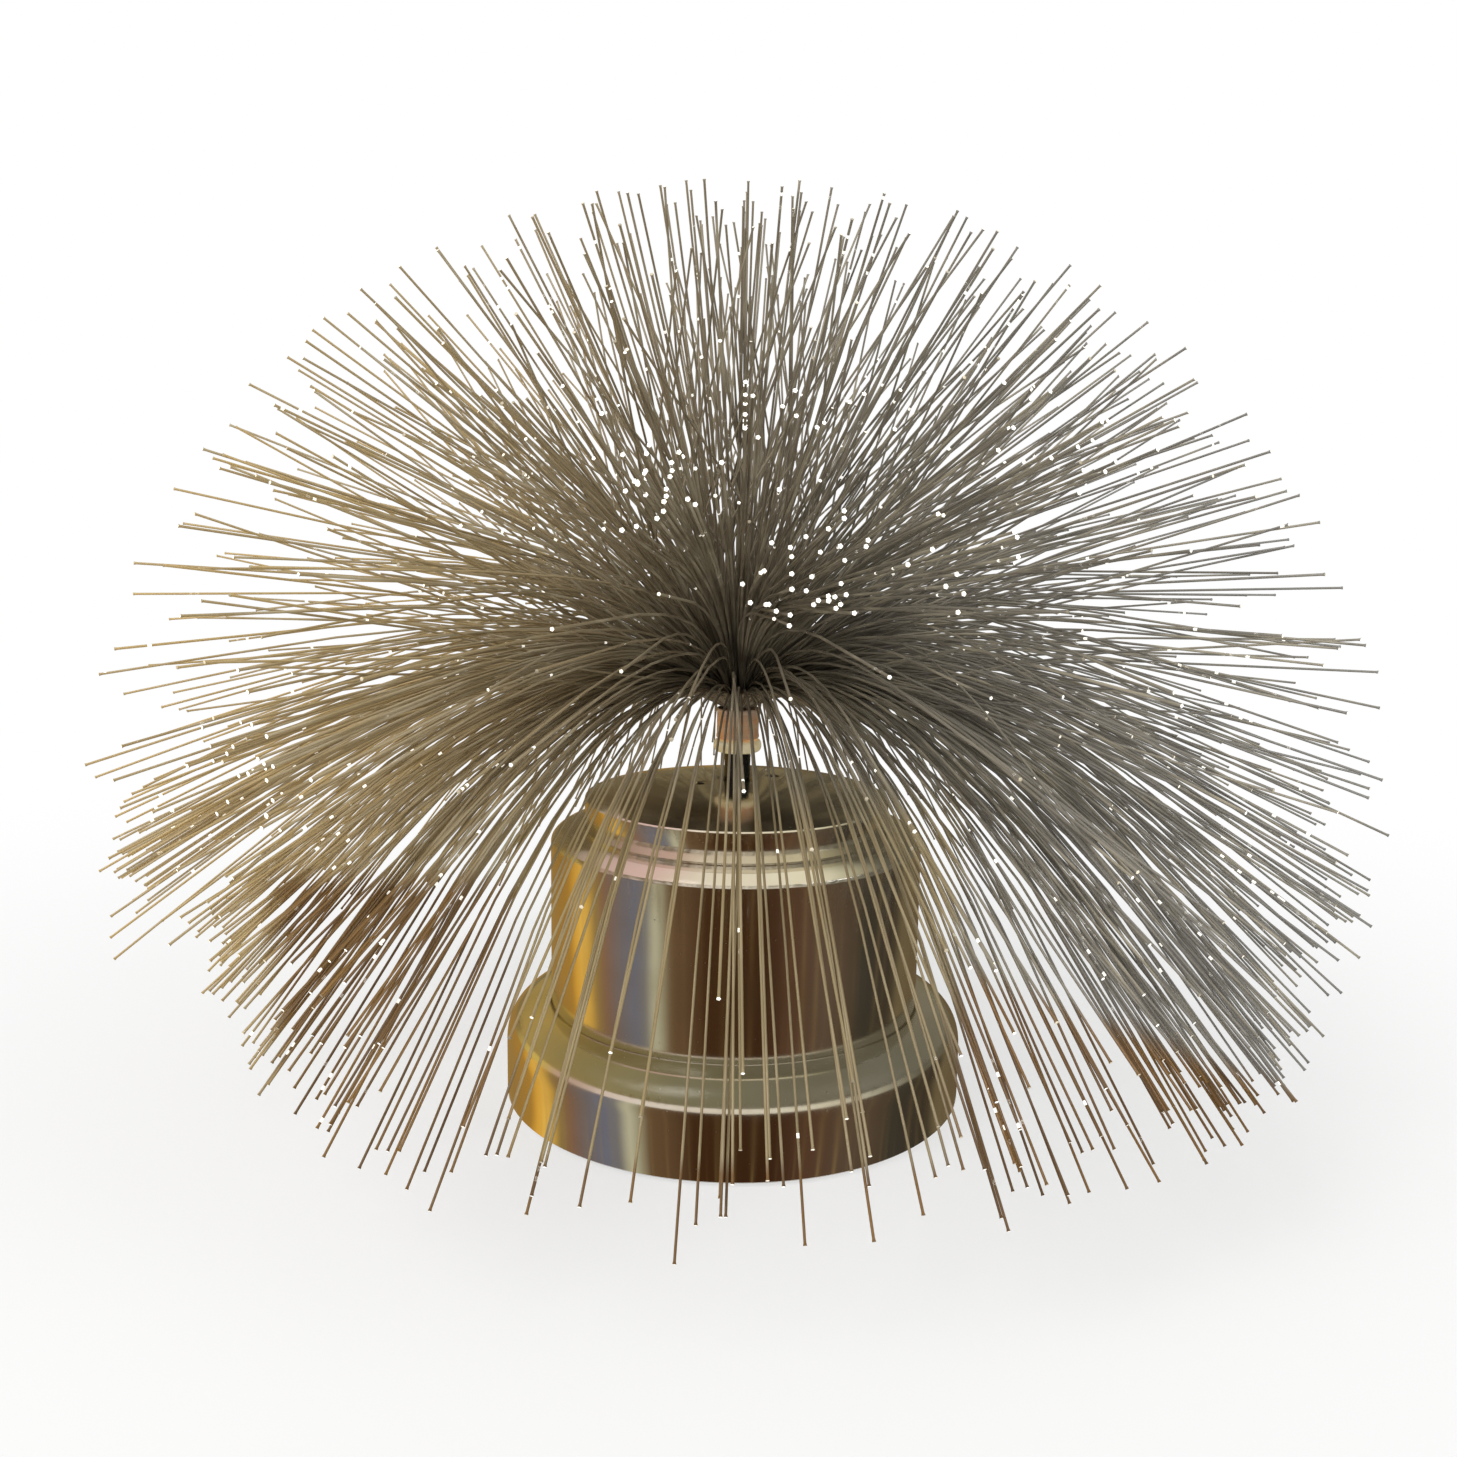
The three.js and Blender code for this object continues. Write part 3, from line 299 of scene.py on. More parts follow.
def screw(name, node, size, material, body="base", slot="steel", head_below=True):
    """A pan-head screw with a cross recess and a thread, in the box of its CAD node.

    Its size is its head's radius and height and its thread's radius.
    """
    head_radius, head_height, shank_radius = size
    centre, bottom, top = middle(node)
    length = top - bottom - head_height
    pitch = shank_radius * 0.8
    turns = int(length / pitch) - 1
    profile = [(0, 0), (head_radius * 0.3, 0), (head_radius * 0.62, 0.02 * head_height)]
    profile += [(head_radius, head_height * 0.55), (head_radius, head_height)]
    profile.append((shank_radius, head_height))
    for turn in range(turns):
        level = head_height + pitch * (turn + 0.6)
        profile.append((shank_radius * 0.8, level))
        profile.append((shank_radius, level + pitch * 0.5))
    profile += [(shank_radius * 0.7, head_height + length * 0.94), (0, head_height + length)]
    shape = bmesh.new()
    spun(shape, profile, 16, closed=False)
    tidied(shape)
    recess_reach = head_radius * 0.64 * millimetre
    face_depth = head_height * 0.03 * millimetre
    arm_width = 22.5
    arms = []
    for face in shape.faces:
        spot = face.calc_center_median()
        turn = math.degrees(math.atan2(spot.y, spot.x)) % 90
        if spot.z < face_depth and spot.xy.length < recess_reach and turn < arm_width:
            arms.append(face)
    recess = bmesh.ops.extrude_face_region(shape, geom=arms)["geom"]
    sunk = [vert for vert in recess if isinstance(vert, bmesh.types.BMVert)]
    bmesh.ops.translate(shape, verts=sunk, vec=(0, 0, head_height * 0.5 * millimetre))
    bmesh.ops.delete(shape, geom=arms, context="FACES_ONLY")
    if not head_below:
        turn_round(shape, shape.verts, math.pi, "X")
    start = bottom if head_below else top
    bmesh.ops.translate(shape, verts=shape.verts, vec=Vector((*centre, start)) * millimetre)
    bmesh.ops.recalc_face_normals(shape, faces=shape.faces)
    piece(name, shape, [material], body, slot, node)


def screws(count, name, node, *size_and_material, **rest):
    """Like screws, numbered from 1."""
    for number in range(1, count + 1):
        screw(f"{name}_{number}", f"{node}_{number}", *size_and_material, **rest)


zinc = plated("zinc_plate", "B9BBBE", "8E8F90", 0.28, 3000)
plate_screw_size = (2.2, 1.0, 1.0)
screws(3, "plate_screw", "base_screw", plate_screw_size, zinc)


# Battery tray. A black moulded box under the body, open below, screwed to two posts, with the
# cells side by side in it.
dress(black_moulding, "battery_tray")
small_screw_size = (1.7, 1.2, 0.8)
screws(2, "tray_post_screw", "tray_screw", small_screw_size, zinc, head_below=False)


# Cells. Three AA cells: a printed steel can in a plain jacket, crimped at both ends, with a
# raised nub at one.
cell_radius = 7.25
cell_nub_radius = 2.75
cell_nub_length = 1.2


def cell_jacket():
    """A dark blue jacket with a silver band and a black one at each end, scuffed."""
    look = Finish("cell_jacket", {"IOR": 1.5})
    along = look.part_of(look.place(), "X")
    from_middle = look.math("ABSOLUTE", along)
    ends = look.band(from_middle, 0.0150, 0.0153)
    lines = look.band(from_middle, 0.0160, 0.0162)
    jacket = look.mix(lines, look.mix(ends, "22324A", "C9CBCB"), "2C2E33")
    scuffs = look.band(look.noise(900, 5.0), 0.62, 0.72)
    look.set("Metallic", ends * (1.0 - lines) * 0.8)
    jacket = look.mix(scuffs * 0.35, jacket, "8B8F96")
    return look.surface(jacket, 0.28 + scuffs * 0.25, look.noise(500), 0.00002)


jacket_finish = cell_jacket()
for number in range(1, 4):
    low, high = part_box(f"cell_{number}")
    length = (high.x - low.x) / millimetre
    shoulder = length - cell_nub_length
    cell = bmesh.new()
    spun(cell, [
        (0, 0.35), (5.6, 0.35), (6.1, 0.0), (cell_radius - 0.5, 0.0), (cell_radius - 0.12, 0.35),
        (cell_radius - 0.12, 0.8), (cell_radius, 1.0), (cell_radius, shoulder - 1.6),
        (cell_radius - 0.35, shoulder - 1.1), (cell_radius - 0.12, shoulder - 0.6),
        (cell_radius - 0.6, shoulder), (cell_nub_radius + 0.5, shoulder),
        (cell_nub_radius, shoulder + 0.15), (cell_nub_radius, length - 0.25),
        (cell_nub_radius - 0.3, length), (0, length),
    ], 48, closed=False)
    tidied(cell)
    for face in cell.faces:
        is_wall = face.calc_center_median().xy.length > (cell_radius - 0.2) * millimetre
        face.material_index = 0 if is_wall else 1
    nub_side = 1 if number % 2 else -1
    start = low.x if nub_side > 0 else high.x
    turn_round(cell, cell.verts, nub_side * math.pi / 2, "Y")
    seat = Vector((start, (low.y + high.y) / 2, (low.z + high.z) / 2))
    bmesh.ops.translate(cell, verts=cell.verts, vec=seat)
    piece(f"aa_cell_{number}", cell, [jacket_finish, zinc], "base", "cell", f"cell_{number}")


# Contacts. Pressed spring-steel plates stand at the nubs, and a plate with a coil wound from
# one wire presses on the flat end of each cell.
dress(zinc, "contact_plate_1", "contact_plate_2", "contact_plate_3")
coil_radius = 3.2
coil_wire_radius = 0.35
coil_turns = 2
coil_steps = coil_turns * 28
contact_width = 8
contact_thickness = 0.4
contact_height = 9
solder_tab_width = 2.4
for number in range(1, 4):
    low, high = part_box(f"contact_spring_{number}")
    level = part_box(f"cell_{number}")[0].z / millimetre + cell_radius
    across = (low.y + high.y) / 2 / millimetre
    presses_right = number % 2
    back = (low.x if presses_right else high.x) / millimetre
    away = 1 if presses_right else -1
    reach = (high.x - low.x) / millimetre
    contact = bmesh.new()
    plates = [(contact_width, contact_height, level)]
    if number == 1:
        tab_height = high.z / millimetre - level
        plates.append((solder_tab_width, tab_height, level + tab_height / 2))
    for width, height, plate_middle in plates:
        plate = bmesh.ops.create_cube(contact, size=1)["verts"]
        bmesh.ops.scale(contact, verts=plate, vec=Vector((contact_thickness, width, height)))
        bmesh.ops.translate(
            contact, verts=plate, vec=(back + away * contact_thickness / 2, across, plate_middle))
    ring = bmesh.ops.create_circle(contact, cap_ends=True, segments=8, radius=coil_wire_radius)["verts"]
    for axis in "XZY":
        turn_round(contact, ring, math.pi / 2, axis)
    first = back + away * (contact_thickness + coil_wire_radius * 0.6)
    bmesh.ops.translate(contact, verts=ring, vec=(first, across + coil_radius, level))
    travel = reach - contact_thickness - 2 * coil_wire_radius
    wire = list({edge for vert in ring for edge in vert.link_edges})
    face = list({face for vert in ring for face in vert.link_faces})
    bmesh.ops.spin(
        contact, geom=ring + wire + face, cent=(first, across, level), axis=(1, 0, 0),
        dvec=(away * travel / coil_steps, 0, 0), angle=2 * math.pi * coil_turns, steps=coil_steps)
    bmesh.ops.scale(contact, verts=contact.verts, vec=Vector((1, 1, 1)) * millimetre)
    tidied(contact)
    piece(f"coil_contact_{number}", contact, [zinc], "base", "steel", f"contact_spring_{number}")


# Battery door. A lid in the plate's opening swings on a steel pin and is held by one captive
# screw at its free edge.
dress(black_moulding, "battery_door")
dress(zinc, "hinge_pin")
screw("door_captive_screw", "door_screw", plate_screw_size, zinc, body="door")


# Slide switch. A pressed steel housing on two posts holds a white slider, whose ribbed nub
# reaches through the plate.
dress(zinc, "switch_housing")
white_moulding = moulded("white_moulding", "E6E2D8", "D4CFC2", 0.5, 3000, 0.00002)
dress(white_moulding, "switch_slider")
screws(2, "switch_post_screw", "switch_screw", small_screw_size, zinc, head_below=False)


# Foot. A moulded plastic ring with an upright rim and a bulged flare, metallised to mirror
# chrome: nearly flawless, with finger haze, hair scratches and specks of dust.
def chrome_plate(name, dust):
    """Mirror chrome with a share of dust specks, from 0 to 1."""
    look = Finish(name, {"Metallic": 1.0})
    haze = look.noise(45, 4.0)
    hairs = look.band(look.noise(900, 3.0, look.stretched((1.0, 1.0, 0.06))), 0.66, 0.72)
    specks = look.band(look.noise(1500, 1.0), 0.74, 0.8) * dust
    clean = look.mix(look.band(haze, 0.3, 0.75), "E2DED6", "D2CBBC")
    roughness = 0.11 + look.band(haze, 0.35, 0.8) * 0.08 + hairs * 0.05 + specks * 0.4
    return look.surface(look.mix(specks, clean, "9C9484"), roughness, look.noise(22, 1.0), 0.00012)


chrome = chrome_plate("mirror_chrome", 0.5)


def arc(centre_radius, centre_height, width, rise, steps, start=0.0, end=90.0):
    """Points of an ellipse's arc, from outermost at 0 degrees to its top at 90."""
    turns = [math.radians(start + (end - start) * step / steps) for step in range(steps + 1)]
    return [
        (centre_radius + width * math.cos(turn), centre_height + rise * math.sin(turn)) for turn in turns]


def full_round(centre_radius, centre_height, width, rise, steps):
    """Points of a quarter round that is squarer than an ellipse, from outermost up to its top."""
    power = 2 / flare_fullness
    return [
        (centre_radius + width * abs(across) ** power, centre_height + rise * up ** power)
        for across, up in arc(0, 0, 1, 1, steps)]


def corners(node):
    """The lowest and the highest corner of a CAD node's box, in mm."""
    return [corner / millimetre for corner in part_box(node)]


foot_low, foot_high = corners("foot_shell")
body_low, body_high = corners("body_shell")
foot_radius = foot_high.x
foot_wall = 1.8
foot_edge_round = 0.4
bore_edge_round = 0.3
rim_height = 11.6
flare_fullness = 2.35
flare_rise = 8.7
flare_inset = 0.9
lip_radius = body_high.x + 0.05
lip_top_radius = body_high.x + 0.7
ledge_radius = body_high.x - 2
ledge_top = body_low.z - 0.3
ledge_bottom = ledge_top - 1.6
rim_top = foot_low.z + rim_height
foot_bore = foot_radius - foot_wall
foot = bmesh.new()
foot_profile = [(foot_bore, foot_low.z + bore_edge_round), (foot_bore + bore_edge_round, foot_low.z)]
foot_profile += [(foot_radius - foot_edge_round, foot_low.z), (foot_radius, foot_low.z + foot_edge_round)]
foot_profile += full_round(lip_top_radius, rim_top, foot_radius - lip_top_radius, flare_rise, 28)
foot_profile += [(lip_radius, rim_top + flare_rise), (lip_radius, ledge_top)]
foot_profile += [(ledge_radius, ledge_top), (ledge_radius, ledge_bottom)]
inside_start = rim_top - flare_inset
foot_profile += reversed(full_round(
    lip_top_radius, inside_start, foot_bore - lip_top_radius, ledge_bottom - inside_start, 12))
spun(foot, foot_profile, 144)
boss_radius = 3
boss_bore = 1.15
boss_top = ledge_bottom + 0.3
for number in range(1, 4):
    centre, screw_bottom, _ = middle(f"base_screw_{number}")
    boss_bottom = screw_bottom + 2.4
    spun(foot, [
        (boss_bore, boss_bottom), (boss_radius, boss_bottom),
        (boss_radius, boss_top), (boss_bore, boss_top),
    ], 24, centre=centre)
tidied(foot)
piece("chrome_foot", foot, [chrome], "base", "chrome", "foot_shell")


# Body. A moulded drum with a rounded shoulder, metallised like the foot. It stands on the
# foot's ledge, and its deck is open in the middle for the light.
body_radius = body_high.x
body_wall = 1.8
body_bore = body_radius - body_wall
body_edge_round = 0.3
shoulder_width = 6.5
shoulder_rise = 3.2
shoulder_bottom = body_high.z - shoulder_rise
deck_radius = body_radius - shoulder_width
deck_width = 7.8
deck_opening = deck_radius - deck_width
deck_thickness = 1.8
deck_bottom = body_high.z - deck_thickness
inner_start = shoulder_bottom - deck_thickness + shoulder_rise / 2
body = bmesh.new()
body_profile = [(body_bore, body_low.z), (body_radius - body_edge_round, body_low.z)]
body_profile.append((body_radius, body_low.z + body_edge_round))
body_profile += arc(deck_radius, shoulder_bottom, shoulder_width, shoulder_rise, 18)
body_profile += [(deck_opening, body_high.z), (deck_opening, deck_bottom)]
body_profile += reversed(arc(
    deck_radius, inner_start, body_bore - deck_radius, deck_bottom - inner_start, 10))
spun(body, body_profile, 144)
tidied(body)
piece("chrome_body", body, [chrome], "base", "chrome", "body_shell")


# Light unit. A white moulded holder hangs under the dome and guides the stem; in its bell a white
# cup leads the light of three diodes on a small board to the end of the fibre bundle.
dress(white_moulding, "lamp_holder", "light_cup")


def circuit_board():
    """Green lacquer over raised tracks and a glass weave."""
    look = Finish("board_lacquer", {"IOR": 1.5})
    tracks = look.node("ShaderNodeTexBrick", {"offset": 0.5}, {
        "Vector": look.place(), "Scale": 180.0, "Mortar Size": 0.03,
        "Color1": "000000", "Color2": "000000", "Mortar": "FFFFFF"}, "Fac")
    weave = look.noise(2200)
    lacquer = look.mix(weave * 0.3, look.mix(tracks, "1F5A38", "2F7A4C"), "184A2E")
    return look.surface(lacquer, 0.32 + weave * 0.15, tracks + weave * 0.2, 0.00003)


dress(circuit_board(), "led_board")
dress(moulded("chip_epoxy", "101012", "1C1C20", 0.55, 5000, 0.00001), "flasher_chip")
screws(2, "board_ear_screw", "board_screw", small_screw_size, zinc)


def diode_epoxy(name, shade, pale):
    """Tinted epoxy, a little cloudy, with a clear face."""
    look = Finish(name, {"IOR": 1.55, "Coat Roughness": 0.04, "Coat Weight": 0.6})
    depth = look.band(look.noise(500), 0.3, 0.7)
    return look.surface(look.mix(depth, shade, pale), 0.12 + depth * 0.06, look.noise(300, 1.0), 0.00001)


led_shades = {"red": ("C8413A", "E0746C"), "green": ("4FA45B", "86C98C"), "blue": ("3F66C4", "7F9BDE")}
led_radius = 2.5
led_flange_radius = 2.9
led_flange_height = 1.0
for shade_name, (shade, pale) in led_shades.items():
    centre, bottom, top = middle(f"led_{shade_name}")
    led = bmesh.new()
    led_profile = [(0, bottom), (led_flange_radius, bottom)]
    led_profile.append((led_flange_radius, bottom + led_flange_height - 0.1))
    led_profile.append((led_radius, bottom + led_flange_height))
    led_profile += arc(0, top - led_radius, led_radius, led_radius, 10)
    spun(led, led_profile, 32, closed=False, centre=centre)
    tidied(led)
    epoxy = diode_epoxy(f"{shade_name}_epoxy", shade, pale)
    piece(f"diode_{shade_name}", led, [epoxy], "base", f"led_{shade_name}", f"led_{shade_name}")


# Hook-up wires. Stranded copper in soft coloured sleeves, soldered at the contacts, the
# switch and the board.
def wire_sleeve(name, shade, dark):
    """A soft coloured sleeve, clouded and slightly dimpled."""
    look = Finish(name, {"IOR": 1.5})
    cloud = look.noise(300, 3.0)
    return look.surface(look.mix(cloud, shade, dark), 0.38 + cloud * 0.15, look.noise(1800, 1.0), 0.00001)


dress(wire_sleeve("red_sleeve", "B23A2E", "962E24"), "supply_wire")
dress(wire_sleeve("yellow_sleeve", "CDA63E", "B28E30"), "switched_wire")
dress(wire_sleeve("black_sleeve", "242428", "17171A"), "return_wire")


# Cap. A chromed plastic disc with a short wall and a shallow dome, centred in the deck by its
# spigot, and drilled for the stem and for the two screws that hold the lamp holder under it.
cap_low, cap_high = corners("top_cap")
cap_radius = cap_high.x
cap_wall = 1.8
cap_bottom = body_high.z + 0.05
cap_edge_round = 0.4
dome_rise = 3.9
dome_top = cap_high.z
dome_radius = (cap_radius ** 2 + dome_rise ** 2) / (2 * dome_rise)
dome_steps = 16
stem_hole = 3.1
hole_edge_round = 0.3
screw_pocket_radius = 1.5
screw_pocket_depth = 1.2


def dome_height(radius):
    """Level of the dome's outer face at a distance from the axis, in mm."""
    return dome_top - dome_radius + math.sqrt(dome_radius ** 2 - radius ** 2)


spigot_radius = deck_opening - 0.3
dome_start = cap_radius - cap_edge_round
cap = bmesh.new()
cap_profile = [(cap_radius - cap_wall, cap_bottom), (cap_radius, cap_bottom)]
cap_profile += arc(dome_start, dome_height(dome_start) - cap_edge_round, cap_edge_round, cap_edge_round, 6)
for step in range(1, dome_steps + 1):
    radius = dome_start + (stem_hole + hole_edge_round - dome_start) * step / dome_steps
    cap_profile.append((radius, dome_height(radius)))
cap_profile.append((stem_hole, dome_height(stem_hole) - hole_edge_round))
for radius in (stem_hole, (stem_hole + spigot_radius) / 2, spigot_radius - cap_wall):
    cap_profile.append((radius, dome_height(radius) - cap_wall))
cap_profile += [(spigot_radius - cap_wall, cap_low.z), (spigot_radius, cap_low.z)]
for radius in (spigot_radius, cap_radius - cap_wall):
    cap_profile.append((radius, dome_height(radius) - cap_wall))
spun(cap, cap_profile, 144)
tidied(cap)


def bored(shape, drills):
    """Drills round holes of (centre, radius, bottom, top), in mm, into a closed shape."""
    bits = bmesh.new()
    for centre, radius, bottom, top in drills:
        bit = [(0, bottom), (radius, bottom), (radius, top), (0, top)]
        spun(bits, bit, 32, closed=False, centre=centre)
    tidied(bits)
    blank = as_mesh("blank", shape.copy())
    drill = as_mesh("drill", bits)
    held = in_scene("blank", blank)
    boring = held.modifiers.new("boring", "BOOLEAN")
    boring.operation = "DIFFERENCE"
    boring.object = in_scene("drill", drill)
    result = held.evaluated_get(bpy.context.evaluated_depsgraph_get()).to_mesh()
    shape.clear()
    shape.from_mesh(result)
    for mesh in (blank, drill):
        bpy.data.meshes.remove(mesh)


pockets = []
for number in (1, 2):
    centre, _, screw_top = middle(f"cap_screw_{number}")
    pockets.append((centre, screw_pocket_radius, screw_top - screw_pocket_depth, cap_high.z + 2))
bored(cap, pockets)
piece("chrome_cap", cap, [chrome_plate("dusty_chrome", 1.0)], "base", "chrome", "top_cap")

blued = plated("blued_steel", "3A342D", "241F1A", 0.38, 3000)
dome_screw_size = (1.2, 0.8, 0.8)
screws(2, "dome_screw", "cap_screw", dome_screw_size, blued, slot="dark_steel", head_below=False)


# Stem. A glossy black plastic tube stands in the holder and leads the fibre bundle out of the
# dome. It is cut from a longer one, with its edges rubbed round.
stem_low, stem_high = corners("stem")
stem_radius = stem_high.x
stem_bore = 2.1
stem_round = 0.15
gloss_black = moulded("gloss_black", "0D0C0B", "171513", 0.24, 900, 0.00001)
stem = bmesh.new()
spun(stem, [
    (stem_bore, stem_low.z), (stem_radius, stem_low.z),
    (stem_radius, stem_high.z), (stem_bore, stem_high.z),
], 64)
tidied(stem)
soften(stem, stem_round)
piece("black_stem", stem, [gloss_black], "spray", "black_plastic", "stem")


# Seat ring. A moulded cream collar, bulged at its middle, sits on the stem's top under the
# ferrule. Its plastic is pale and translucent, and a faint painted glow makes it look lit.
def cream_plastic():
    """Cream plastic that lets some light through, with a faint painted glow."""
    # Painted glow: a faint cream emission, though the collar is no lamp.
    look = Finish("cream_collar", {
        "IOR": 1.5, "Subsurface Weight": 0.15, "Subsurface Scale": 0.002,
        "Emission Color": "F2DCA4", "Emission Strength": 0.2})
    cloud = look.noise(500, 3.0)
    cream = look.mix(look.band(cloud, 0.35, 0.7), "FFF6D8", "F6E0AC")
    return look.surface(cream, 0.3 + cloud * 0.12, look.noise(2500), 0.00001)


ring_low, ring_high = corners("seat_ring")
ring_height = ring_high.z - ring_low.z
ring_bulge = 0.7
ring_neck = ring_high.x - ring_bulge
ring_bore = stem_radius + 0.15
ring_step = stem_high.z + 0.3
ring = bmesh.new()
ring_profile = [(ring_bore, ring_low.z), (ring_neck, ring_low.z)]
ring_profile += arc(
    ring_neck, ring_low.z + ring_height / 2, ring_bulge, ring_height / 2 - 0.05, 12, -80.0, 80.0)
ring_profile += [(ring_neck, ring_high.z), (stem_bore, ring_high.z)]
ring_profile += [(stem_bore, ring_step), (ring_bore, ring_step)]
spun(ring, ring_profile, 72)
tidied(ring)
piece("cream_ring", ring, [cream_plastic()], "spray", "cream_plastic", "seat_ring")


# Ferrule. A drawn cup in polished copper colour, lacquered, with a rolled lip. Its wall is
# paler where it is handled and darker in the drawing marks, with a painted highlight towards the lip.
def copper_lacquer():
    """Copper under lacquer, painted greyer towards the lip as a highlight, with rings left by the drawing.
    """
    look = Finish("lacquered_copper", {"Metallic": 0.3, "Coat Weight": 0.4, "Coat Roughness": 0.12})
    level = look.part_of(look.place(), "Z")
    cloud = look.noise(420, 4.0)
    ring_marks = look.noise(40, 2.0, look.stretched((1.0, 1.0, 60.0)))
    tone = look.mix(look.band(cloud, 0.35, 0.7), "FFC08A", "FFDCB8")
    # Painted highlight: the wall turns pale pinkish grey towards the lip.
    tone = look.mix(look.band(level, 0.0826, 0.0852), tone, "E8C8AE")
    tone = look.mix(look.band(ring_marks, 0.55, 0.75) * 0.4, tone, "B87444")
    return look.surface(tone, 0.24 + cloud * 0.14, ring_marks, 0.00003)


ferrule_low, ferrule_high = corners("ferrule")
ferrule_radius = ferrule_high.x
ferrule_bore = ferrule_radius - 0.5
ferrule_waist = ferrule_radius - 0.12
ferrule_heel = 0.4
ferrule_floor = ferrule_low.z + 0.8
lip_height = 0.5
lip_round = 0.3
ferrule = bmesh.new()
heel_radius = ferrule_radius - ferrule_heel
ferrule_profile = [(stem_bore, ferrule_low.z), (heel_radius, ferrule_low.z)]
ferrule_profile += arc(
    heel_radius, ferrule_low.z + ferrule_heel, ferrule_heel, ferrule_heel, 5, -80.0, 0.0)
ferrule_profile += [(ferrule_waist, ferrule_low.z + 1.2), (ferrule_waist, ferrule_high.z - 1.1)]
ferrule_profile += arc(
    ferrule_radius - lip_round, ferrule_high.z - lip_height, lip_round, lip_height, 8, -60.0, 90.0)
ferrule_profile += [(ferrule_bore, ferrule_high.z - 0.2), (ferrule_bore, ferrule_floor)]
ferrule_profile.append((stem_bore, ferrule_floor))
spun(ferrule, ferrule_profile, 72)
tidied(ferrule)
piece("copper_ferrule", ferrule, [copper_lacquer()], "spray", "copper", "ferrule")


# Fibres. Several hundred clear plastic fibres are potted in the ferrule. They rise, fan out
# and arch down under their own weight. Their cut ends and spots along them have painted glints that glow.
def clear_fibre():
    """Clear plastic with painted glints that glow, painted shade near the root, and painted
    reflected tints: tan to grey from left to right, tan before the base and brown low beside it.

    The tints end at planes fixed in the lamp's own frame, which were laid along the
    photograph's lines of sight; each has its level at the axis and its rise to the front.
    """
    look = Finish("clear_fibre", {"IOR": 1.49, "Emission Strength": 1.0, "Specular IOR Level": 0.5})
    along = look.attribute("along")
    chance = look.attribute("chance")
    place = look.place()
    side = look.part_of(place, "X")
    depth = look.part_of(place, "Y")
    level = look.part_of(place, "Z")

    def below(axis_level, rise):
        return axis_level - level - depth * rise

    # Painted reflection: the tone runs from tan at the left to grey at the right.
    reflected_tint_across = look.ramp(side * 3.8 + 0.5, [
        (0.0, "D6B87C"), (0.25, "B8A070"), (0.45, "8C7E66"), (0.6, "827C70"), (1.0, "908F8B")])
    # Painted shade: the fibres are darker near the root, where they crowd.
    shade_near_root = look.band(0.34 - along, 0.0, 0.3)
    tone = look.mix(shade_near_root * 0.7, reflected_tint_across, "564A38")
    tone = look.mix(chance * 0.4, tone, "5A5244")
    # Painted light: noise patches are painted paler, as if lit.
    lit = look.band(look.noise(70, 2.0, place), 0.4, 0.66)
    tone = look.mix(lit * chance * 0.5, tone, "CFC4A8")

    # Painted light: the fibres before the base are painted tan, the colour of the base seen through them.
    base_half_width = 0.052
    collar_plane = (0.0735, 0.2029)
    foot_edge_plane = (-0.0168, 0.485)
    off_side = look.math("ABSOLUTE", side)
    base_seen_through = look.band(depth * 0.148 + base_half_width - off_side, 0.0, 0.006)
    base_seen_through = base_seen_through * look.band(0.0 - depth, 0.03, 0.05)
    base_seen_through = base_seen_through * look.band(below(*collar_plane), 0.0, 0.014)
    base_seen_through = base_seen_through * (1.0 - look.band(below(*foot_edge_plane), 0.0, 0.004))
    tone = look.mix(base_seen_through * 0.5, tone, "A8925F")

    # Painted reflection: low fibres beside the base are painted brown.
    brown_tint_plane = (0.050, 0.2765)
    right = look.math("MAXIMUM", side, 0.0)
    low = look.band(below(*brown_tint_plane) - right * 0.365, 0.0, 0.006)
    beside_base = look.band(side + depth * 0.315, -0.106, -0.098) * (1.0 - base_seen_through)
    reflected_brown = look.mix(chance, "86602A", "62431C")
    tone = look.mix(low * beside_base * 0.9, tone, reflected_brown)

    # Painted glints: random spots along the fibres are painted white and glow.
    spot = look.node("ShaderNodeCombineXYZ", {}, {
        0: chance * 977.0, 1: look.math("FLOOR", along * 190.0), 2: 0.0})
    draw = look.node("ShaderNodeTexWhiteNoise", {"noise_dimensions": "3D"}, {"Vector": spot}, "Value")
    crowd = look.band(look.noise(38, 2.0, place), 0.58, 0.64)
    likely = 0.9988 - crowd * look.band(along, 0.3, 0.9) * 0.03
    glint = (draw > likely) * look.band(along, 0.25, 0.4)
    look.set("Emission Color", look.mix(glint, "000000", "F4EFE2"))
    tone = look.mix(glint, tone, "FFFDF4")
    return look.surface(tone, 0.22 + chance * 0.2, look.noise(2500, 1.0, place), 0.00002)


def fibre_end():
    """A cut end with a painted glint that glows, from dull to dazzling."""
    look = Finish("cut_fibre_end", {"IOR": 1.49, "Emission Strength": 1.0, "Roughness": 0.2})
    bright = look.ramp(look.attribute("chance"), [
        (0.0, "6E6656"), (0.3, "B8AE98"), (0.6, "FFF8E8"), (1.0, "FFFFFA")])
    look.set("Base Color", bright)
    look.set("Emission Color", bright)
    return look.owner


fibre_finish = clear_fibre()
end_finish = fibre_end()
dress(fibre_finish, "fibre_tail")
bundle_radius = corners("fibre_tail")[1].x
solid_fibres_per_quarter = 75
golden_share = 0.618034
added_fibres_per_quarter = 310
fibre_sides = 5
fibre_stops = 11
fibre_radius = 0.24
fibre_root_radius = 0.15
fibre_end_radius = 0.33
bright_end_radius = 0.41
fibre_bead_share = 0.9965
quarter_gap = 0.3
root_inset = 0.22
first_root = 0.85
upright_length = 107
lowest_length = 149
length_power = 2.4
lowest_tilt = math.radians(58)
lowest_droop = math.radians(84)
droop_power = 1.7
bend_power = 3
slice_top = ferrule_high.z + 1.0
spray_high = corners("fibre_spray_1")[1]


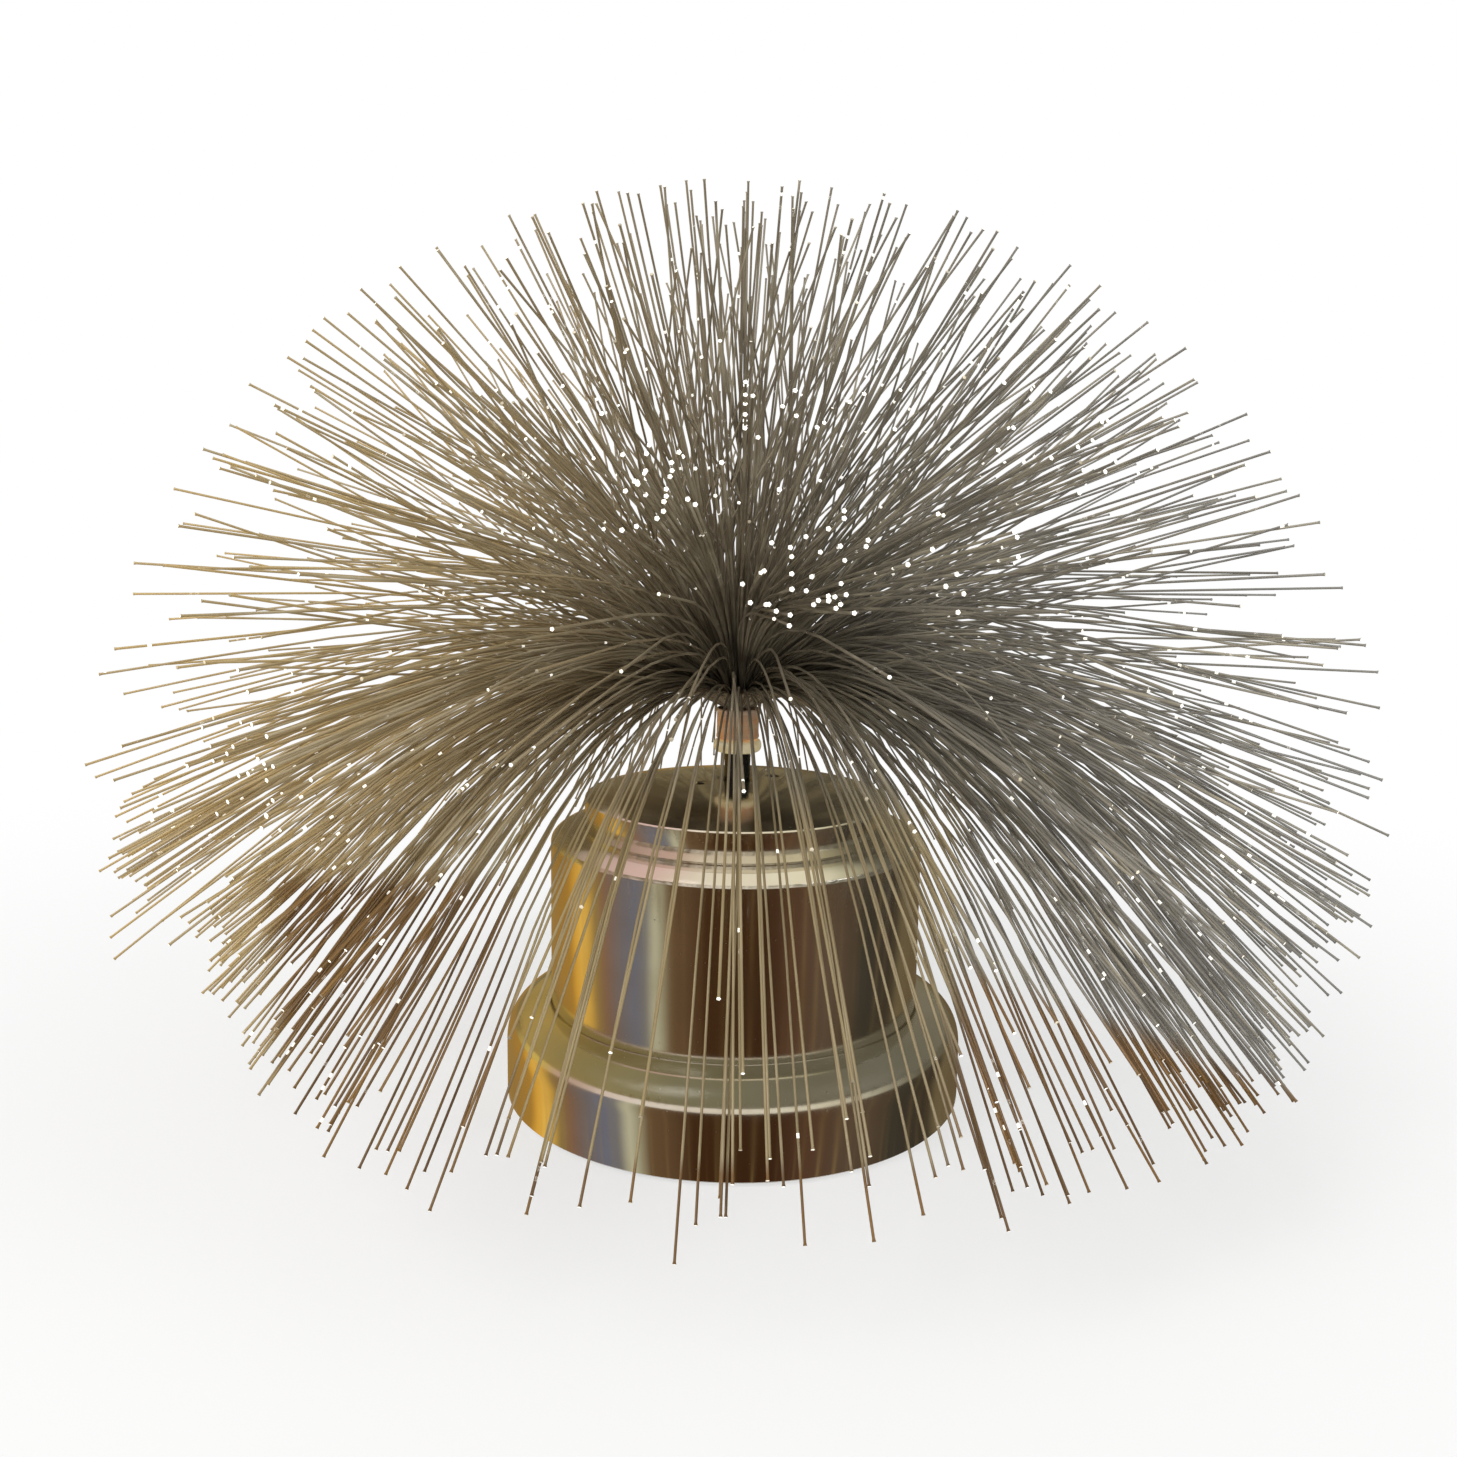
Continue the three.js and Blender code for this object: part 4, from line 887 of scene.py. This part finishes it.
def straight_fibre():
    """One straight fibre along Z: round section on a unit circle, length from 0 to 1."""
    shape = bmesh.new()
    bmesh.ops.create_circle(shape, cap_ends=True, segments=fibre_sides, radius=1)
    shape.faces.ensure_lookup_table()
    end = shape.faces[0]
    evenly = [step / fibre_stops for step in range(1, fibre_stops + 1)]
    stops = [(1 - (1 - share) ** 0.45) * fibre_bead_share for share in evenly] + [1.0]
    for stop in stops:
        grown = bmesh.ops.extrude_face_region(shape, geom=[end])["geom"]
        end = next(item for item in grown if isinstance(item, bmesh.types.BMFace))
        for vert in end.verts:
            vert.co.z = stop
    end.material_index = 1
    bmesh.ops.recalc_face_normals(shape, faces=shape.faces)
    return as_mesh("straight_fibre", shape)


def fibre_path(tilt, droop, length):
    """A fibre's reach, climb and angle at a share of its length, as a function."""
    parts = 60
    places = [(0.0, 0.0)]
    for part in range(parts):
        angle = tilt + droop * (1 - (1 - (part + 0.5) / parts) ** bend_power)
        reach, climb = places[-1]
        places.append((reach + length / parts * math.sin(angle), climb + length / parts * math.cos(angle)))

    def at(share):
        spot = min(share, 1.0) * parts
        before = min(int(spot), parts - 1)
        rest = spot - before
        (reach, climb), (next_reach, next_climb) = places[before], places[before + 1]
        angle = tilt + droop * (1 - (1 - share) ** bend_power)
        return reach + (next_reach - reach) * rest, climb + (next_climb - climb) * rest, angle

    return at


def fibre_plan(chances):
    """A quarter's fibres: rank outwards, spread over the quarter, bend, cut, sway and lift.

    First come those of the solids, then small tufts that stray together.
    """
    plan = []
    for number in range(solid_fibres_per_quarter):
        rank = (number + 0.5) / solid_fibres_per_quarter
        plan.append((rank, number * golden_share % 1, 1.0, 1.0, 0.0, 0.0))
    while len(plan) < solid_fibres_per_quarter + added_fibres_per_quarter:
        tuft_size = chances.choice((1, 1, 2, 3, 5))
        tuft_rank = chances.uniform(0.76, 1.0) if chances.random() < 0.3 else chances.random()
        tuft_spread = chances.random()
        tuft_bend = chances.gauss(0.98, 0.03)
        strays = 1.0 if tuft_rank < 0.72 else 0.3
        tuft_sway = chances.choice((-44.0, -24.0, 0.0, 24.0, 44.0)) * strays
        tuft_lift = chances.choice((22.0, 0.0, -18.0, -30.0, -44.0)) * strays * min(tuft_rank / 0.2, 1.0)
        for _ in range(tuft_size):
            rank = min(max(tuft_rank + chances.gauss(0, 0.08), 0.0), 1.0)
            spread = min(max(tuft_spread + chances.gauss(0, 0.12), 0.0), 1.0)
            bend = min(tuft_bend * chances.gauss(1.0, 0.03), 1.02)
            ends_early = chances.random() < 0.38 and rank < 0.8
            cut = chances.uniform(0.62, 0.92) if ends_early else chances.uniform(0.93, 1.0)
            cut -= abs(tuft_lift) / 500
            sway = tuft_sway + chances.gauss(0, 3.0)
            plan.append((rank, spread, bend, cut, sway, tuft_lift + chances.gauss(0, 2.0)))
    return plan


# What is left of the low fibres, by their heading in quarter turns: shorter at the front left.
trims = [(0.0, 1.0), (1.6, 1.0), (1.95, 0.88), (2.3, 0.86), (2.6, 0.93), (3.5, 0.95), (4.0, 1.0)]


def trimmed(turn, rank):
    """The share of a fibre's length that is left."""
    for (before, share), (after, next_share) in zip(trims, trims[1:]):
        if before <= turn <= after:
            left = share + (next_share - share) * (turn - before) / (after - before)
    lowness = min(max((rank - 0.7) / 0.2, 0.0), 1.0)
    return 1 - (1 - left) * lowness


def thinned(plan, draws, gaps):
    """Takes added fibres out of gaps: least rank, spread from and to, share kept."""
    kept = []
    for number, fibre in enumerate(plan):
        rank, spread = fibre[:2]
        shares = [share for least, low, high, share in gaps if rank > least and low <= spread < high]
        if number < solid_fibres_per_quarter or not shares or draws.random() < shares[0]:
            kept.append(fibre)
    return kept


def fibre_line(quarter, rank, spread, bend, sway, raised):
    """A fibre's middle line in mm, as a function of the share of its length, and its side."""
    share = math.sqrt(rank)
    droop = lowest_droop * share ** droop_power * bend
    length = upright_length + (lowest_length - upright_length) * share ** length_power
    path = fibre_path(lowest_tilt * share, droop, length)
    outermost = bundle_radius - root_inset
    root = math.sqrt(first_root ** 2 + rank * (outermost ** 2 - first_root ** 2))
    edge_angle = math.asin((quarter_gap / 2 + root_inset) / root)
    quarter_angle = quarter * math.pi / 2
    azimuth = quarter_angle + edge_angle + spread * (math.pi / 2 - 2 * edge_angle)
    heading = quarter_angle + spread * math.pi / 2
    outward = Vector((math.cos(heading), math.sin(heading), 0))
    sideways = Vector((-outward.y, outward.x, 0))
    start = Vector((root * math.cos(azimuth), root * math.sin(azimuth), slice_top - 0.5))

    def at(stop):
        reach, climb, angle = path(stop)
        lift = outward * math.cos(angle) + Vector((0, 0, -math.sin(angle)))
        inner = min(stop / 0.45, 1.0)
        aside = (stop - 0.5) * inner * inner * (3 - 2 * inner)
        stray = (sideways * sway + lift * raised) * aside
        return start + outward * reach + Vector((0, 0, climb)) + stray, lift

    return at, sideways


# Quarters count from the right round the back: the left front one is 2 and the right front
# one is 3. The number beside each is the spread that points at the viewer.
left_front = 2
viewer_spread = {2: 1.0, 3: 0.0}
viewer_side_width = 0.35
viewer_side_sway = 0.2
plan_seed = 41
left_tuft_count = 44
low_front_count = 50
front_gaps = {2: [(0.4, 0.7, 1.1, 0.4)], 3: [(0.4, 0.0, 0.3, 0.4)]}
left_gaps_seed = 83
left_gaps = [(0.45, 0.1, 0.3, 0.25), (0.45, 0.3, 0.72, 0.85)]
fringe_seed = 61
fringe_count = 9
# Groups of ends with painted glints that glow: heading in quarter turns, rank, cut, how many and how far
# they scatter.
bright_groups = [
    (2.93, 0.39, 0.95, 26, 0.03), (3.07, 0.47, 0.85, 28, 0.05), (3.15, 0.44, 0.95, 18, 0.05),
    (2.60, 0.61, 0.97, 26, 0.04), (3.33, 0.37, 1.0, 16, 0.05), (3.02, 0.31, 0.9, 18, 0.06)]
straight = straight_fibre()
points_each = len(straight.vertices)
for quarter in range(4):
    chances = random.Random(plan_seed + quarter)
    plan = fibre_plan(chances)
    if quarter == left_front:
        for _ in range(left_tuft_count):
            plan.append((
                chances.uniform(0.8, 0.9), abs(chances.gauss(0, 0.08)), chances.uniform(0.88, 0.98),
                chances.uniform(0.95, 1.0), chances.gauss(0, 1.5), 0.0))
    if quarter in viewer_spread:
        for _ in range(low_front_count):
            plan.append((
                chances.uniform(0.88, 1.0), chances.uniform(0.22, 0.76), chances.uniform(0.98, 1.06),
                chances.uniform(0.93, 1.0), chances.gauss(0, 2.0), 0.0))
        plan = thinned(plan, chances, front_gaps[quarter])
    if quarter == left_front:
        plan = thinned(plan, random.Random(left_gaps_seed), left_gaps)
    if quarter in viewer_spread:
        fringe = random.Random(fringe_seed + quarter)
        for _ in range(fringe_count):
            plan.append((
                fringe.uniform(0.9, 1.0), abs(viewer_spread[quarter] - fringe.uniform(0.02, 0.24)),
                fringe.uniform(1.0, 1.06), fringe.uniform(0.95, 1.0), 0.0, 0.0))
    ordinary = len(plan)
    for turn, rank, cut, count, scatter in bright_groups:
        if int(turn) == quarter:
            for _ in range(count):
                spread = min(max(turn - quarter + chances.gauss(0, scatter), 0.0), 1.0)
                plan.append((
                    rank + chances.gauss(0, 0.025), spread, 1.0, cut + chances.gauss(0, 0.02), 0.0, 0.0))
    bunch = bmesh.new()
    for _ in plan:
        bunch.from_mesh(straight)
    bunch.verts.ensure_lookup_table()
    along_layer = bunch.verts.layers.float.new("along")
    chance_layer = bunch.verts.layers.float.new("chance")
    for index, (rank, spread, bend, cut, sway, raised) in enumerate(plan):
        from_viewer = abs(spread - viewer_spread[quarter]) if quarter in viewer_spread else 1.0
        if from_viewer < viewer_side_width and rank > 0.2:
            sway *= viewer_side_sway
            raised *= viewer_side_sway
        line, sideways = fibre_line(quarter, rank, spread, bend, sway, raised)
        in_left_tuft = quarter == left_front and rank < 0.9 and spread < 0.2
        reaches = min(cut, 1.0) * (1.0 if in_left_tuft else trimmed(quarter + spread, rank))
        tip = line(reaches)[0]
        while tip.z > spray_high.z or max(abs(tip.x), abs(tip.y)) > spray_high.x:
            reaches -= 0.01
            tip = line(reaches)[0]
        chance = chances.random()
        end_radius = fibre_end_radius
        if index >= ordinary:
            chance = 0.6 + 0.4 * chance
            end_radius = bright_end_radius
        for vert in bunch.verts[index * points_each:(index + 1) * points_each]:
            stop = vert.co.z * reaches
            spot, lift = line(stop)
            radius = fibre_radius if vert.co.z < 0.9999 else end_radius
            if stop < 0.0001:
                radius = fibre_root_radius
            spot += (lift * vert.co.x + sideways * vert.co.y) * radius
            vert[along_layer] = stop
            vert[chance_layer] = chance
            vert.co = spot * millimetre
    piece(
        f"fibre_bunch_{quarter + 1}", bunch, [fibre_finish, end_finish], "spray", "fibre",
        f"fibre_spray_{quarter + 1}")
bpy.data.meshes.remove(straight)


# Floor. The lamp stands on a plain pale sweep. It is drawn as bright as the photograph's
# ground for the camera and for the chrome, and takes the lamp's shadow.
def swept(name, start, end, material, angle=2 * math.pi):
    """A stage sheet that a line between two points (radius, level) sweeps, in metres."""
    shape = bmesh.new()
    rim = [shape.verts.new((radius, 0, level)) for radius, level in (start, end)]
    edge = shape.edges.new(rim)
    bmesh.ops.spin(shape, geom=rim + [edge], cent=(0, 0, 0), axis=(0, 0, 1), angle=angle, steps=96)
    bmesh.ops.remove_doubles(shape, verts=shape.verts, dist=1e-6)
    shape.normal_update()
    facing_down = [face for face in shape.faces if face.normal.z < -0.5]
    bmesh.ops.reverse_faces(shape, faces=facing_down)
    made = in_scene(name, as_mesh(name, shape, [material]))
    return made


def floor_paint():
    """Matt pale paint, which gets its own glow where the camera or the chrome sees it."""
    look = Finish("floor_paint", {"Specular IOR Level": 0.0, "Roughness": 0.9})
    place = look.place()
    distance = look.node("ShaderNodeVectorMath", {"operation": "LENGTH"}, {0: place}, "Value")
    look.set("Base Color", look.mix(look.noise(6.0, 2.0, place), "F3F3F2", "F6F6F5"))
    glow = look.node("ShaderNodeEmission", {}, {"Color": "FFFFFF", "Strength": 1.0})
    seen = look.math("MAXIMUM", look.ray("Camera"), look.ray("Glossy"))
    paler = look.band(distance, 0.12, 0.4) * 0.4 + 0.6
    paint = Signal(look, look.shader.outputs[0])
    return look.show(look.node("ShaderNodeMixShader", {}, {0: paler * seen, 1: paint, 2: glow}))


swept("floor", (0.0, 0.0), (6.0, 0.0), floor_paint())


# Cards. The chrome needs a room to mirror, so toned cards lie on the table, stand round it
# and hang above it. Only glossy rays see them, and their tones follow the photograph's.
def card_paint(name, stops, strength, near_bend=0.0, streaks=0.0, from_below=False):
    """A card's tones by the direction, seen from above, in which the chrome looks at it.

    The tones are bent where they come near the foot, and may be streaked.
    """
    look = Finish(name, {"Base Color": "000000", "Specular IOR Level": 0.0})
    place = look.place()
    east = look.part_of(place, "X")
    south = 0.0 - look.part_of(place, "Y")
    turn = look.math("ARCTAN2", east, south) / (2 * math.pi)
    distance = (east * east + south * south) ** 0.5
    near_radius = 0.060
    share = turn / (1.0 - near_bend * (near_radius / distance) ** 1.354) + 0.5
    shade = look.ramp(share, stops)
    if streaks:
        along_turn = look.node("ShaderNodeCombineXYZ", {}, {0: share, 1: 0.0, 2: 0.0})
        streak = look.band(look.noise(90.0, 3.0, along_turn), 0.5, 0.72)
        shade = look.mix(streak * streaks, shade, "9C8458")
    glow = look.node("ShaderNodeEmission", {}, {"Color": shade, "Strength": strength})
    if from_below:
        clear = look.node("ShaderNodeBsdfTransparent", {}, {})
        underside = look.node("ShaderNodeNewGeometry", {}, {}, "Backfacing")
        glow = look.node("ShaderNodeMixShader", {}, {0: underside, 1: clear, 2: glow})
    return look.show(glow)


def card(name, start, end, paint, angle=2 * math.pi):
    """A card that only mirrors show."""
    made = swept(name, start, end, paint, angle)
    for kind in ("camera", "diffuse", "transmission", "shadow"):
        setattr(made, f"visible_{kind}", False)


table_tones = card_paint("table_tones", [
    (0.02, "9A7A40"), (0.07, "9C7A42"), (0.159, "B08438"), (0.18, "E0AA44"), (0.203, "F0C058"),
    (0.222, "D8AC50"), (0.24, "98804C"), (0.262, "8C6A50"), (0.30, "767074"), (0.33, "727484"),
    (0.35, "7A7878"), (0.366, "C4C0A4"), (0.378, "A8A48A"), (0.395, "6A5238"), (0.43, "5E4630"),
    (0.455, "422A16"), (0.55, "3E2616"), (0.60, "5A4030"), (0.66, "5E4E40"), (0.71, "544638"),
    (0.73, "3E3A32"), (0.82, "40382E"), (0.85, "70644A"), (0.98, "62523A"),
], 1.1, near_bend=0.417, streaks=0.5)
card("table_card", (0.0503, 0.0004), (1.6, 0.0004), table_tones)
# Painted shade: this glowing card, seen only from below, puts the spray's shade into the foot's mirror.
shade_tones = card_paint("shade_tones", [
    (0.02, "A08C58"), (0.2, "BCA05A"), (0.36, "A09468"), (0.45, "8A8468"), (0.55, "807C6A"),
    (0.7, "7C7A6C"), (0.85, "86806E"), (0.98, "8A8264"),
], 0.95, from_below=True)
card("spray_shade_card", (0.0412, 0.038), (0.150, 0.038), shade_tones)
shoulder_tones = card_paint("shoulder_tones", [
    (0.25, "A89C88"), (0.31, "D8BCB4"), (0.4, "ECCCC4"), (0.46, "F6ECD8"), (0.6, "FBF6DC"),
    (0.64, "C8C4A8"), (0.7, "6E6A5C"), (0.75, "5A5648"),
], 1.0, from_below=True)
card("shoulder_card", (0.028, 0.074), (0.062, 0.074), shoulder_tones, -math.pi)
wall_tones = card_paint("wall_tones", [
    (0.03, "7E7254"), (0.12, "9A8450"), (0.18, "E0C468"), (0.215, "E0C468"), (0.25, "D8B8AC"),
    (0.38, "F0E4D8"), (0.62, "F4F0DE"), (0.7, "B8B4A0"), (0.78, "6E6A5C"), (0.9, "6E6854"),
    (0.97, "7E7254"),
], 1.0)
card("wall_card", (1.5, 0.0), (1.5, 1.5), wall_tones)
ceiling_tones = card_paint("ceiling_tones", [
    (0.0, "F0E8D4"), (0.1, "EADCC8"), (0.28, "E4C0B3"), (0.4, "F0D8CC"), (0.5, "FCF0E0"),
    (0.7, "FFFCE4"), (1.0, "F0E8D4"),
], 1.0)
card("ceiling_card", (0.0, 1.5), (1.6, 1.5), ceiling_tones)


# Studio light. A soft key lamp stands at the left front and a weaker fill at the right, in
# white air that lights the object less than the camera and the chrome see.
air_seen = 1.0
air_light = 0.62
bpy.context.scene.world = bpy.data.worlds.new("studio")
air = Nodes(bpy.context.scene.world, "Background", {"Color": "FFFFFF"})
seen = air.ray("Camera")
for kind in ("Glossy", "Transmission"):
    seen = air.math("MAXIMUM", seen, air.ray(kind))
air.set("Strength", seen * (air_seen - air_light) + air_light)


def soft_light(name, place, size, watts):
    """A round soft lamp that points at the middle of the spray's root, in metres."""
    lamp = bpy.data.lights.new(name, "AREA")
    lamp.shape = "DISK"
    lamp.size = size
    lamp.energy = watts
    made = in_scene(name, lamp)
    made.location = place
    aim = Vector((0, 0, 0.08)) - Vector(place)
    made.rotation_euler = aim.to_track_quat("-Z", "Y").to_euler()


soft_light("key_light", (-0.9, -0.9, 1.5), size=0.9, watts=16)
soft_light("fill_light", (1.2, -0.6, 0.9), size=1.0, watts=6)


# Camera. It stands at the fitted viewpoint of the photograph, looks down a little, and is
# rolled by a degree; its shift puts the fitted middle of the view in the right pixel.
photo_size = 1457
focal_pixels = 1500
middle_column = 738.1
middle_row = 706.33
sensor = 36.0
looks_down = 9.33
rolled = 0.9
lens = bpy.data.cameras.new("photo_camera")
lens.sensor_width = sensor
lens.lens = focal_pixels / photo_size * sensor
lens.shift_x = (photo_size / 2 - middle_column) / photo_size
lens.shift_y = (middle_row - photo_size / 2) / photo_size
lens.clip_start = 0.01
camera = in_scene("photo_camera", lens)
camera.location = (0.0, -0.3201, 0.1385)
pitch = Matrix.Rotation(math.radians(90 - looks_down), 3, "X")
camera.rotation_euler = (pitch @ Matrix.Rotation(math.radians(rolled), 3, "Z")).to_euler()
bpy.context.scene.camera = camera
bpy.context.scene.view_settings.view_transform = "Standard"
